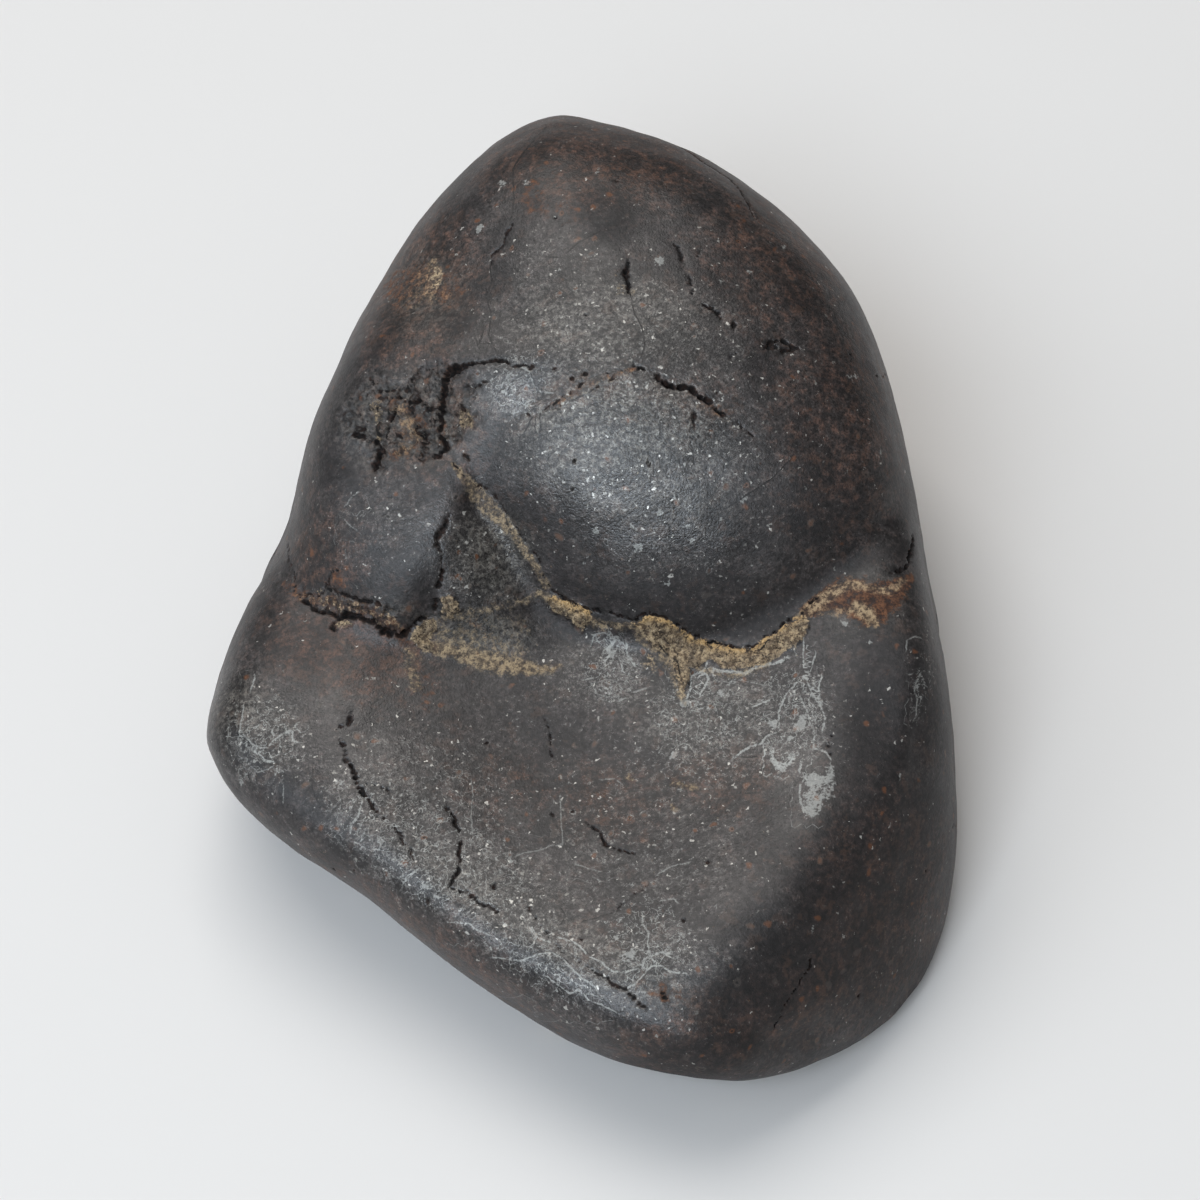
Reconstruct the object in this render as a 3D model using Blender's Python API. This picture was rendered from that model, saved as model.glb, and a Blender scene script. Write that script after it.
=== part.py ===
"""A loose stony meteorite: one wind-worn, one-piece stone that rests on a flat foot.

The stone is four overlapping masses (the low shelf in front, the domed head behind it,
the raised shoulder on the left and the small wedge between shoulder and head). Each mass
is a set of soft flats, the masses run into one another along creases, and the whole is
trimmed to the stone's outline as it is seen from the front and above.
All lengths in the tables are millimetres; angles are degrees. +Z is up, -Y is the front.
"""
import bpy
import bmesh
import math
import numpy as np

MM = 0.001

# ---------------------------------------------------------------- driving dimensions
MID = (0.0, 4.0, 10.0)          # the point that the flats are measured from
ORIGIN = (0.0, 4.0, 6.0)        # the point that the surface is drawn out from
SUBDIVISIONS = 5                # of the starting icosphere
RELAX_ROUNDS = 6                # evens out the spacing of the vertices

VIEW_ELEVATION = 50.0           # the outline is given for this view
VIEW_TARGET = (0.0, 0.0, 22.0)
VIEW_DISTANCE = 225.0
OUTLINE_MARGIN = 0.4
OUTLINE_ROUND = 4.5             # how softly the outline's wall meets the masses
FOOT_ROUND = 2.0                # how softly the flat foot meets the walls

# the outline across the line of sight: right, up
OUTLINE = [
    (0, 36), (6, 34), (11.5, 30.5), (16, 26.5), (19, 22.5), (21, 17.5), (22.5, 11.5), (23.5, 6),
    (24.5, 0.5), (26, -6), (27, -14), (27, -22), (24.5, -28.5), (19.5, -33.5), (13, -36), (6.5, -36),
    (0, -34.5), (-6, -31), (-12, -26.5), (-18, -21.5), (-23.5, -18), (-28.5, -13.5), (-30, -10.5),
    (-29, -6.5), (-26, 0), (-23.5, 4.5), (-21.5, 12), (-19.5, 17), (-16, 24), (-11.5, 30.5),
    (-6.5, 35), (-3, 36.5),
]

# flats: direction they face (azimuth, elevation) and distance from MID
SHELF = [
    (-117, 77, 11.8),                                    # top of the shelf, dips to the front
    (-121, -20, 31.0), (-121, 32, 27.8),                 # front left wall and its rim
    (-80, -8, 43.5), (-88, 25, 37.0), (-88, 50, 28.5),   # toe
    (-42, 29, 31.0), (-46, -25, 43.0), (-20, 5, 34.0),   # right front flat and its corner
    (2, 8, 29.6), (10, -30, 27.0),
    (-163, 5, 38.5), (-172, -38, 26.5), (-138, -48, 26.5), (-150, 28, 35.0),   # left lobe
    (170, 20, 31.0), (150, -20, 27.0),
    (60, 0, 36.0), (90, 0, 38.0), (120, 0, 36.0),
    (0, -90, 13.0), (90, -45, 27.0), (-90, -60, 25.0), (45, -35, 27.0), (135, -35, 25.0),
]
HEAD = [
    (-103, 5, 6.6), (-119, 20, 8.4), (-65, 5, 12.8),     # front flank, above the crevice
    (-85, 30, 12.0), (-50, 25, 19.4), (-120, 45, 16.0),
    (-88, 48, 16.0), (-85, 65, 21.0), (-60, 80, 26.2),   # the dome
    (-35, 45, 24.8), (-10, 62, 28.4),
    (90, 75, 36.2), (90, 50, 45.4), (90, 20, 46.2), (90, -15, 36.5), (90, -45, 28.5),
    (120, 40, 47.0), (155, 35, 36.8), (180, 22, 29.6), (-160, 60, 24.4), (-138, 58, 20.9),
    (60, 40, 45.0), (30, 30, 38.4), (8, 20, 33.0), (45, -5, 37.0), (135, -5, 34.0),
    (0, -90, 12.0), (10, -35, 27.0), (170, -35, 27.0),
]
SHOULDER = [
    (-123, 62, 17.6), (-131, 25, 18.6), (-150, 32, 24.0), (180, 18, 29.6), (160, 35, 33.0),
    (-90, 20, 9.5), (60, 50, 19.5), (90, 10, 30.0), (-27, 0, -9.3),
    (0, -90, 12.0), (180, -40, 23.0), (-135, -20, 18.0),
]
WEDGE = [
    (-50, 45, 6.3), (-95, 25, 9.6), (153, 0, 10.4), (0, 90, 16.6), (0, -90, 2.0), (90, 0, 9.0), (0, 0, 4.0),
]
SHELF_SOFT, HEAD_SOFT, SHOULDER_SOFT, WEDGE_SOFT = 1.8, 1.7, 1.3, 0.8

# the broad hollow worn into the shelf: centre, half axes, and the shelf's own slope
HOLLOW_CENTRE = (1.0, -8.0, 30.6)
HOLLOW_AXES = (26.0, 28.0, 14.0)
HOLLOW_SLOPE = (0.1, 0.2)

# long low waves of the worn skin: wave vector (radians per mm), height, phase
WAVES = [
    ((0.21, 0.13, 0.16), 0.35, 0.4), ((-0.17, 0.25, 0.11), 0.35, 2.1), ((0.10, -0.22, 0.30), 0.30, 4.0),
    ((0.36, 0.20, -0.18), 0.22, 1.2), ((-0.28, 0.33, 0.25), 0.20, 5.3), ((0.15, 0.42, -0.30), 0.15, 3.1),
]

# ---------------------------------------------------------------- the shape as a distance-like field
_e = math.radians(VIEW_ELEVATION)
BACK = np.array([0.0, -math.cos(_e), math.sin(_e)])
RIGHT = np.array([1.0, 0.0, 0.0])
UP = np.cross(BACK, RIGHT)
EYE = np.array(VIEW_TARGET) + BACK * VIEW_DISTANCE


def flats(table):
    t = np.array(table, float)
    az, el = np.radians(t[:, 0]), np.radians(t[:, 1])
    n = np.stack([np.cos(el) * np.cos(az), np.cos(el) * np.sin(az), np.sin(el)], axis=1)
    return n, t[:, 2]


def mass(q, table, soft):
    """Intersection of half spaces, with its edges and corners worn round."""
    n, d = flats(table)
    g = (q @ n.T - d) / soft
    m = g.max(axis=-1)
    return soft * (m + np.log(np.exp(g - m[..., None]).sum(axis=-1)))


def join(a, b, k):
    h = np.clip(0.5 + 0.5 * (b - a) / k, 0.0, 1.0)
    return b * (1 - h) + a * h - k * h * (1 - h)


def cut(a, b, k):
    return -join(-a, -b, k)


def outline_radius(theta):
    """Radius of the outline at an angle, and its slope: a smooth closed curve."""
    t = np.array(OUTLINE, float)
    a = np.arctan2(t[:, 1], t[:, 0])
    o = np.argsort(a)
    a, r, n, w = a[o], np.hypot(t[:, 0], t[:, 1])[o], len(a), 2 * math.pi
    i = (np.searchsorted(a, theta) - 1) % n
    j, h0, j2 = (i + 1) % n, (i - 1) % n, (i + 2) % n
    x, h = (theta - a[i]) % w, (a[j] - a[i]) % w
    hm, hp = (a[i] - a[h0]) % w, (a[j2] - a[j]) % w
    s = x / h
    m1 = ((r[j] - r[i]) / h * hm + (r[i] - r[h0]) / hm * h) / (h + hm)
    m2 = ((r[j2] - r[j]) / hp * h + (r[j] - r[i]) / h * hp) / (h + hp)
    rad = ((1 + 2 * s) * (1 - s) ** 2 * r[i] + s * (1 - s) ** 2 * h * m1
           + s * s * (3 - 2 * s) * r[j] + s * s * (s - 1) * h * m2)
    slope = ((6 * s * s - 6 * s) * r[i] + (1 - 4 * s + 3 * s * s) * h * m1
             + (6 * s - 6 * s * s) * r[j] + (3 * s * s - 2 * s) * h * m2) / h
    return rad, slope


def outline_wall(p):
    q = p - EYE
    k = -(q @ BACK)
    x, y = (q @ RIGHT) / k * VIEW_DISTANCE, (q @ UP) / k * VIEW_DISTANCE
    r, dr = outline_radius(np.arctan2(y, x))
    r = r + OUTLINE_MARGIN
    return (np.hypot(x, y) - r) / np.sqrt(1 + (dr / r) ** 2) * k / VIEW_DISTANCE


def hollow(p):
    x = p[..., 0] - HOLLOW_CENTRE[0]
    y = p[..., 1] - HOLLOW_CENTRE[1]
    z = p[..., 2] - HOLLOW_SLOPE[0] * x - HOLLOW_SLOPE[1] * y - HOLLOW_CENTRE[2]
    ax, ay, az = HOLLOW_AXES
    l = np.sqrt((x / ax) ** 2 + (y / ay) ** 2 + (z / az) ** 2)
    g = np.sqrt((x / ax ** 2) ** 2 + (y / ay ** 2) ** 2 + (z / az ** 2) ** 2) + 1e-9
    return l * (l - 1) / g


def waves(p):
    """Low on the worn front and top, fuller on the back and underside."""
    w = np.clip(0.5 - 0.06 * ((p - np.array(MID)) @ BACK), 0.18, 1.0)
    return w * sum(h * np.cos(p @ np.array(k) + f) for k, h, f in WAVES)


def field(p):
    q = p - np.array(MID)
    shelf = cut(mass(q, SHELF, SHELF_SOFT), -hollow(p), 3.0)
    shelf = join(shelf, mass(q, WEDGE, WEDGE_SOFT), 1.0)
    t = np.clip((q[..., 1] - 3.5) / 7.0, 0, 1)
    t = t * t * (3 - 2 * t)
    upper = join(mass(q, HEAD, HEAD_SOFT), mass(q, SHOULDER, SHOULDER_SOFT), 0.7 + 5.0 * t)
    stone = join(shelf, upper, 0.8)
    stone = cut(stone + waves(p), outline_wall(p), OUTLINE_ROUND)
    return cut(stone, -p[..., 2], FOOT_ROUND)


def draw_out(directions, far=60.0, near=3.0, steps=58, halvings=20):
    """Where the rays from ORIGIN leave the stone."""
    o = np.array(ORIGIN)
    r = np.full(len(directions), near)
    open_ = np.ones(len(directions), bool)
    for x in np.linspace(far, near, steps):
        i = np.nonzero(open_)[0]
        if not len(i):
            break
        hit = i[field(o + directions[i] * x) < 0]
        r[hit] = x
        open_[hit] = False
    lo, hi = r.copy(), r + (far - near) / (steps - 1)
    for _ in range(halvings):
        c = (lo + hi) / 2
        inside = field(o + directions * c[:, None]) < 0
        lo, hi = np.where(inside, c, lo), np.where(inside, hi, c)
    return o + directions * ((lo + hi) / 2)[:, None]


# ---------------------------------------------------------------- the object
for ob in list(bpy.data.objects):
    bpy.data.objects.remove(ob, do_unlink=True)

bm = bmesh.new()
bmesh.ops.create_icosphere(bm, subdivisions=SUBDIVISIONS, radius=1.0)
bm.verts.ensure_lookup_table()
d = np.array([v.co[:] for v in bm.verts], float)
d /= np.linalg.norm(d, axis=1)[:, None]
edges = np.array([[e.verts[0].index, e.verts[1].index] for e in bm.edges])
pts = draw_out(d)
for _ in range(RELAX_ROUNDS):
    span = np.linalg.norm(pts[edges[:, 0]] - pts[edges[:, 1]], axis=1)
    total, weight = np.zeros_like(pts), np.zeros(len(pts))
    for a, b in ((0, 1), (1, 0)):
        np.add.at(total, edges[:, a], pts[edges[:, b]] * span[:, None])
        np.add.at(weight, edges[:, a], span)
    d = pts * 0.3 + total / weight[:, None] * 0.7 - np.array(ORIGIN)
    d /= np.linalg.norm(d, axis=1)[:, None]
    pts = draw_out(d)

# the foot is one exact plane, and the origin is the middle of the box at its bottom
pts[:, 2] = np.where(pts[:, 2] < 0.02, 0.0, pts[:, 2])
mid = (pts.min(axis=0) + pts.max(axis=0)) / 2
pts[:, 0] -= mid[0]
pts[:, 1] -= mid[1]
for v, p in zip(bm.verts, pts):
    v.co = p * MM
bmesh.ops.recalc_face_normals(bm, faces=bm.faces)

me = bpy.data.meshes.new("meteorite")
bm.to_mesh(me)
bm.free()
me.shade_smooth()

stone = bpy.data.objects.new("meteorite", me)
group = bpy.data.collections.new("stony_meteorite")
bpy.context.scene.collection.children.link(group)
group.objects.link(stone)

mat = bpy.data.materials.new("desert_worn_stone")
mat.use_nodes = True
bsdf = mat.node_tree.nodes["Principled BSDF"]
bsdf.inputs["Base Color"].default_value = (0.055, 0.047, 0.043, 1.0)
bsdf.inputs["Roughness"].default_value = 0.48
bsdf.inputs["Metallic"].default_value = 0.0
me.materials.append(mat)
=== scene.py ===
"""A loose stony meteorite on a plain pale floor, in soft studio light.

The stone's fine surface: the same four worn masses as the solid, drawn out finely, then
cracked, pitted and crusted. Tables are in millimetres and degrees unless they say pixels;
pixels are of the 1200 x 1200 picture and are cast onto the stone through the camera.
"""
import bpy
import bmesh
import math
import numpy as np
from mathutils import Vector, Matrix


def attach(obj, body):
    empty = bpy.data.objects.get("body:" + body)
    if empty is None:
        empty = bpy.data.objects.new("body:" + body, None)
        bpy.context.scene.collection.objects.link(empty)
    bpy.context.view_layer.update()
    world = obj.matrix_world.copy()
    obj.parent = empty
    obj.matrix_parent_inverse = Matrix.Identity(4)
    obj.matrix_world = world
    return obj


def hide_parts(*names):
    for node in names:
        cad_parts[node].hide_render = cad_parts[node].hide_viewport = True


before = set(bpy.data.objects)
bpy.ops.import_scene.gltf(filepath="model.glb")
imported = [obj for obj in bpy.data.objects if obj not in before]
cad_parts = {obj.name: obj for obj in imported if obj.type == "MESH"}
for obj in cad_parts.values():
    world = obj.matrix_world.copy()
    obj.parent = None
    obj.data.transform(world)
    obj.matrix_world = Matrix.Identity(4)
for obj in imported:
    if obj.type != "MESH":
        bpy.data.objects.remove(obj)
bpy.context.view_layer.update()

MM = 0.001

# ================================================================ the stone's form
MID = (0.0, 4.0, 10.0)
ORIGIN = (0.0, 4.0, 6.0)
VIEW_ELEVATION = 50.0
VIEW_TARGET = (0.0, 0.0, 22.0)
VIEW_DISTANCE = 225.0
FOCAL_PX = 3000.0
OUTLINE_MARGIN = 0.4
OUTLINE_ROUND = 4.5
FOOT_ROUND = 2.0

OUTLINE = [
    (0, 36), (6, 34), (11.5, 30.5), (16, 26.5), (19, 22.5), (21, 17.5), (22.5, 11.5), (23.5, 6),
    (24.5, 0.5), (26, -6), (27, -14), (27, -22), (24.5, -28.5), (19.5, -33.5), (13, -36), (6.5, -36),
    (0, -34.5), (-6, -31), (-12, -26.5), (-18, -21.5), (-23.5, -18), (-28.5, -13.5), (-30, -10.5),
    (-29, -6.5), (-26, 0), (-23.5, 4.5), (-21.5, 12), (-19.5, 17), (-16, 24), (-11.5, 30.5),
    (-6.5, 35), (-3, 36.5),
]
SHELF = [
    (-117, 77, 11.8),
    (-121, -20, 31.0), (-121, 32, 27.8),
    (-80, -8, 43.5), (-88, 25, 37.0), (-88, 50, 28.5),
    (-42, 29, 31.0), (-46, -25, 43.0), (-20, 5, 34.0),
    (2, 8, 29.6), (10, -30, 27.0),
    (-163, 5, 38.5), (-172, -38, 26.5), (-138, -48, 26.5), (-150, 28, 35.0),
    (170, 20, 31.0), (150, -20, 27.0),
    (60, 0, 36.0), (90, 0, 38.0), (120, 0, 36.0),
    (0, -90, 13.0), (90, -45, 27.0), (-90, -60, 25.0), (45, -35, 27.0), (135, -35, 25.0),
]
HEAD = [
    (-103, 5, 6.6), (-119, 20, 8.4), (-65, 5, 12.8),
    (-85, 30, 12.0), (-50, 25, 19.4), (-120, 45, 16.0),
    (-88, 48, 16.0), (-85, 65, 21.0), (-60, 80, 26.2),
    (-35, 45, 24.8), (-10, 62, 28.4),
    (90, 75, 36.2), (90, 50, 45.4), (90, 20, 46.2), (90, -15, 36.5), (90, -45, 28.5),
    (120, 40, 47.0), (155, 35, 36.8), (180, 22, 29.6), (-160, 60, 24.4), (-138, 58, 20.9),
    (60, 40, 45.0), (30, 30, 38.4), (8, 20, 33.0), (45, -5, 37.0), (135, -5, 34.0),
    (0, -90, 12.0), (10, -35, 27.0), (170, -35, 27.0),
]
SHOULDER = [
    (-123, 62, 17.6), (-131, 25, 18.6), (-150, 32, 24.0), (180, 18, 29.6), (160, 35, 33.0),
    (-90, 20, 9.5), (60, 50, 19.5), (90, 10, 30.0), (-27, 0, -9.3),
    (0, -90, 12.0), (180, -40, 23.0), (-135, -20, 18.0),
]
WEDGE = [
    (-50, 45, 6.3), (-95, 25, 9.6), (153, 0, 10.4), (0, 90, 16.6), (0, -90, 2.0), (90, 0, 9.0), (0, 0, 4.0),
]
SHELF_SOFT, HEAD_SOFT, SHOULDER_SOFT, WEDGE_SOFT = 1.8, 1.7, 1.3, 0.8
HOLLOW_CENTRE = (1.0, -8.0, 30.6)
HOLLOW_AXES = (26.0, 28.0, 14.0)
HOLLOW_SLOPE = (0.1, 0.2)
WAVES = [
    ((0.21, 0.13, 0.16), 0.35, 0.4), ((-0.17, 0.25, 0.11), 0.35, 2.1), ((0.10, -0.22, 0.30), 0.30, 4.0),
    ((0.36, 0.20, -0.18), 0.22, 1.2), ((-0.28, 0.33, 0.25), 0.20, 5.3), ((0.15, 0.42, -0.30), 0.15, 3.1),
]

_e = math.radians(VIEW_ELEVATION)
BACK = np.array([0.0, -math.cos(_e), math.sin(_e)])
RIGHT = np.array([1.0, 0.0, 0.0])
UP = np.cross(BACK, RIGHT)
EYE = np.array(VIEW_TARGET) + BACK * VIEW_DISTANCE


def flats(table):
    t = np.array(table, float)
    az, el = np.radians(t[:, 0]), np.radians(t[:, 1])
    return np.stack([np.cos(el) * np.cos(az), np.cos(el) * np.sin(az), np.sin(el)], axis=1), t[:, 2]


def mass(q, table, soft):
    n, d = flats(table)
    g = (q @ n.T - d) / soft
    m = g.max(axis=-1)
    return soft * (m + np.log(np.exp(g - m[..., None]).sum(axis=-1)))


def join(a, b, k):
    h = np.clip(0.5 + 0.5 * (b - a) / k, 0.0, 1.0)
    return b * (1 - h) + a * h - k * h * (1 - h)


def cut(a, b, k):
    return -join(-a, -b, k)


def outline_radius(theta):
    t = np.array(OUTLINE, float)
    a = np.arctan2(t[:, 1], t[:, 0])
    o = np.argsort(a)
    a, r, n, w = a[o], np.hypot(t[:, 0], t[:, 1])[o], len(a), 2 * math.pi
    i = (np.searchsorted(a, theta) - 1) % n
    j, h0, j2 = (i + 1) % n, (i - 1) % n, (i + 2) % n
    x, h = (theta - a[i]) % w, (a[j] - a[i]) % w
    hm, hp = (a[i] - a[h0]) % w, (a[j2] - a[j]) % w
    s = x / h
    m1 = ((r[j] - r[i]) / h * hm + (r[i] - r[h0]) / hm * h) / (h + hm)
    m2 = ((r[j2] - r[j]) / hp * h + (r[j] - r[i]) / h * hp) / (h + hp)
    rad = ((1 + 2 * s) * (1 - s) ** 2 * r[i] + s * (1 - s) ** 2 * h * m1
           + s * s * (3 - 2 * s) * r[j] + s * s * (s - 1) * h * m2)
    slope = ((6 * s * s - 6 * s) * r[i] + (1 - 4 * s + 3 * s * s) * h * m1
             + (6 * s - 6 * s * s) * r[j] + (3 * s * s - 2 * s) * h * m2) / h
    return rad, slope


def outline_wall(p):
    q = p - EYE
    k = -(q @ BACK)
    x, y = (q @ RIGHT) / k * VIEW_DISTANCE, (q @ UP) / k * VIEW_DISTANCE
    r, dr = outline_radius(np.arctan2(y, x))
    r = r + OUTLINE_MARGIN
    return (np.hypot(x, y) - r) / np.sqrt(1 + (dr / r) ** 2) * k / VIEW_DISTANCE


def hollow(p):
    x = p[..., 0] - HOLLOW_CENTRE[0]
    y = p[..., 1] - HOLLOW_CENTRE[1]
    z = p[..., 2] - HOLLOW_SLOPE[0] * x - HOLLOW_SLOPE[1] * y - HOLLOW_CENTRE[2]
    ax, ay, az = HOLLOW_AXES
    l = np.sqrt((x / ax) ** 2 + (y / ay) ** 2 + (z / az) ** 2)
    g = np.sqrt((x / ax ** 2) ** 2 + (y / ay ** 2) ** 2 + (z / az ** 2) ** 2) + 1e-9
    return l * (l - 1) / g


def waves(p):
    w = np.clip(0.5 - 0.06 * ((p - np.array(MID)) @ BACK), 0.18, 1.0)
    return w * sum(h * np.cos(p @ np.array(k) + f) for k, h, f in WAVES)


def field(p):
    q = p - np.array(MID)
    shelf = cut(mass(q, SHELF, SHELF_SOFT), -hollow(p), 3.0)
    shelf = join(shelf, mass(q, WEDGE, WEDGE_SOFT), 1.0)
    t = np.clip((q[..., 1] - 3.5) / 7.0, 0, 1)
    t = t * t * (3 - 2 * t)
    upper = join(mass(q, HEAD, HEAD_SOFT), mass(q, SHOULDER, SHOULDER_SOFT), 0.7 + 5.0 * t)
    stone = join(shelf, upper, 0.8)
    stone = cut(stone + waves(p), outline_wall(p), OUTLINE_ROUND)
    return cut(stone, -p[..., 2], FOOT_ROUND)


def draw_out(directions, far=None, near=None, steps=58, halvings=18):
    """Where the rays from ORIGIN leave the stone; far and near may be guesses per ray."""
    o = np.array(ORIGIN)
    n = len(directions)
    far = np.full(n, 60.0) if far is None else far
    near = np.full(n, 3.0) if near is None else near
    r = near.copy()
    open_ = np.ones(n, bool)
    for s in np.linspace(0, 1, steps):
        i = np.nonzero(open_)[0]
        if not len(i):
            break
        x = far[i] + (near[i] - far[i]) * s
        hit = field(o + directions[i] * x[:, None]) < 0
        r[i[hit]] = x[hit]
        open_[i[hit]] = False
    lo, hi = r.copy(), r + (far - near) / (steps - 1)
    for _ in range(halvings):
        c = (lo + hi) / 2
        inside = field(o + directions * c[:, None]) < 0
        lo, hi = np.where(inside, c, lo), np.where(inside, hi, c)
    return o + directions * ((lo + hi) / 2)[:, None]


# ================================================================ smooth noise
_rng = np.random.default_rng(20)
_perm = np.concatenate([_rng.permutation(256)] * 3)
_grad = _rng.normal(size=(256, 3))
_grad /= np.linalg.norm(_grad, axis=1)[:, None]


def noise(p):
    """Gradient noise, about -0.8 to 0.8, with features about 1 unit apart."""
    i = np.floor(p).astype(int)
    f = p - i
    i &= 255
    u = f * f * f * (f * (f * 6 - 15) + 10)
    out = 0.0
    for dx in (0, 1):
        for dy in (0, 1):
            for dz in (0, 1):
                h = _perm[_perm[_perm[i[:, 0] + dx] + i[:, 1] + dy] + i[:, 2] + dz]
                g = _grad[h]
                d = ((f[:, 0] - dx) * g[:, 0] + (f[:, 1] - dy) * g[:, 1] + (f[:, 2] - dz) * g[:, 2])
                w = ((u[:, 0] if dx else 1 - u[:, 0]) * (u[:, 1] if dy else 1 - u[:, 1])
                     * (u[:, 2] if dz else 1 - u[:, 2]))
                out = out + w * d
    return out * 1.6


def fbm(p, octaves=3, gain=0.5):
    out, a, s = 0.0, 1.0, 1.0
    for k in range(octaves):
        out = out + a * noise(p * s + 17.3 * k)
        a *= gain
        s *= 2.03
    return out


def step(x, a, b):
    t = np.clip((x - a) / (b - a), 0, 1)
    return t * t * (3 - 2 * t)


# ================================================================ casting picture points onto the stone
def ray(px, py):
    d = -BACK + RIGHT * ((px - 600) / FOCAL_PX) + UP * ((600 - py) / FOCAL_PX)
    return d / np.linalg.norm(d)


def cast(points):
    """Where the camera's rays through these pixels meet the stone."""
    d = np.array([ray(*q) for q in points])
    t = np.full(len(d), 165.0)
    hit = np.zeros(len(d), bool)
    for s in np.arange(165.0, 290.0, 0.5):
        i = np.nonzero(~hit)[0]
        if not len(i):
            break
        inside = field(EYE + d[i] * s) < 0
        t[i[inside]] = s
        hit[i[inside]] = True
    lo, hi = t - 0.5, t.copy()
    for _ in range(14):
        c = (lo + hi) / 2
        ins = field(EYE + d * c[:, None]) < 0
        hi, lo = np.where(ins, c, hi), np.where(ins, lo, c)
    return (EYE + d * hi[:, None])[hit]


def to_picture(p):
    q = p - EYE
    k = -(q @ BACK)
    return 600 + FOCAL_PX * (q @ RIGHT) / k, 600 - FOCAL_PX * (q @ UP) / k


def bearing(az, el):
    a, e = math.radians(az), math.radians(el)
    return [math.cos(e) * math.cos(a), math.cos(e) * math.sin(a), math.sin(e)]


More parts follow.
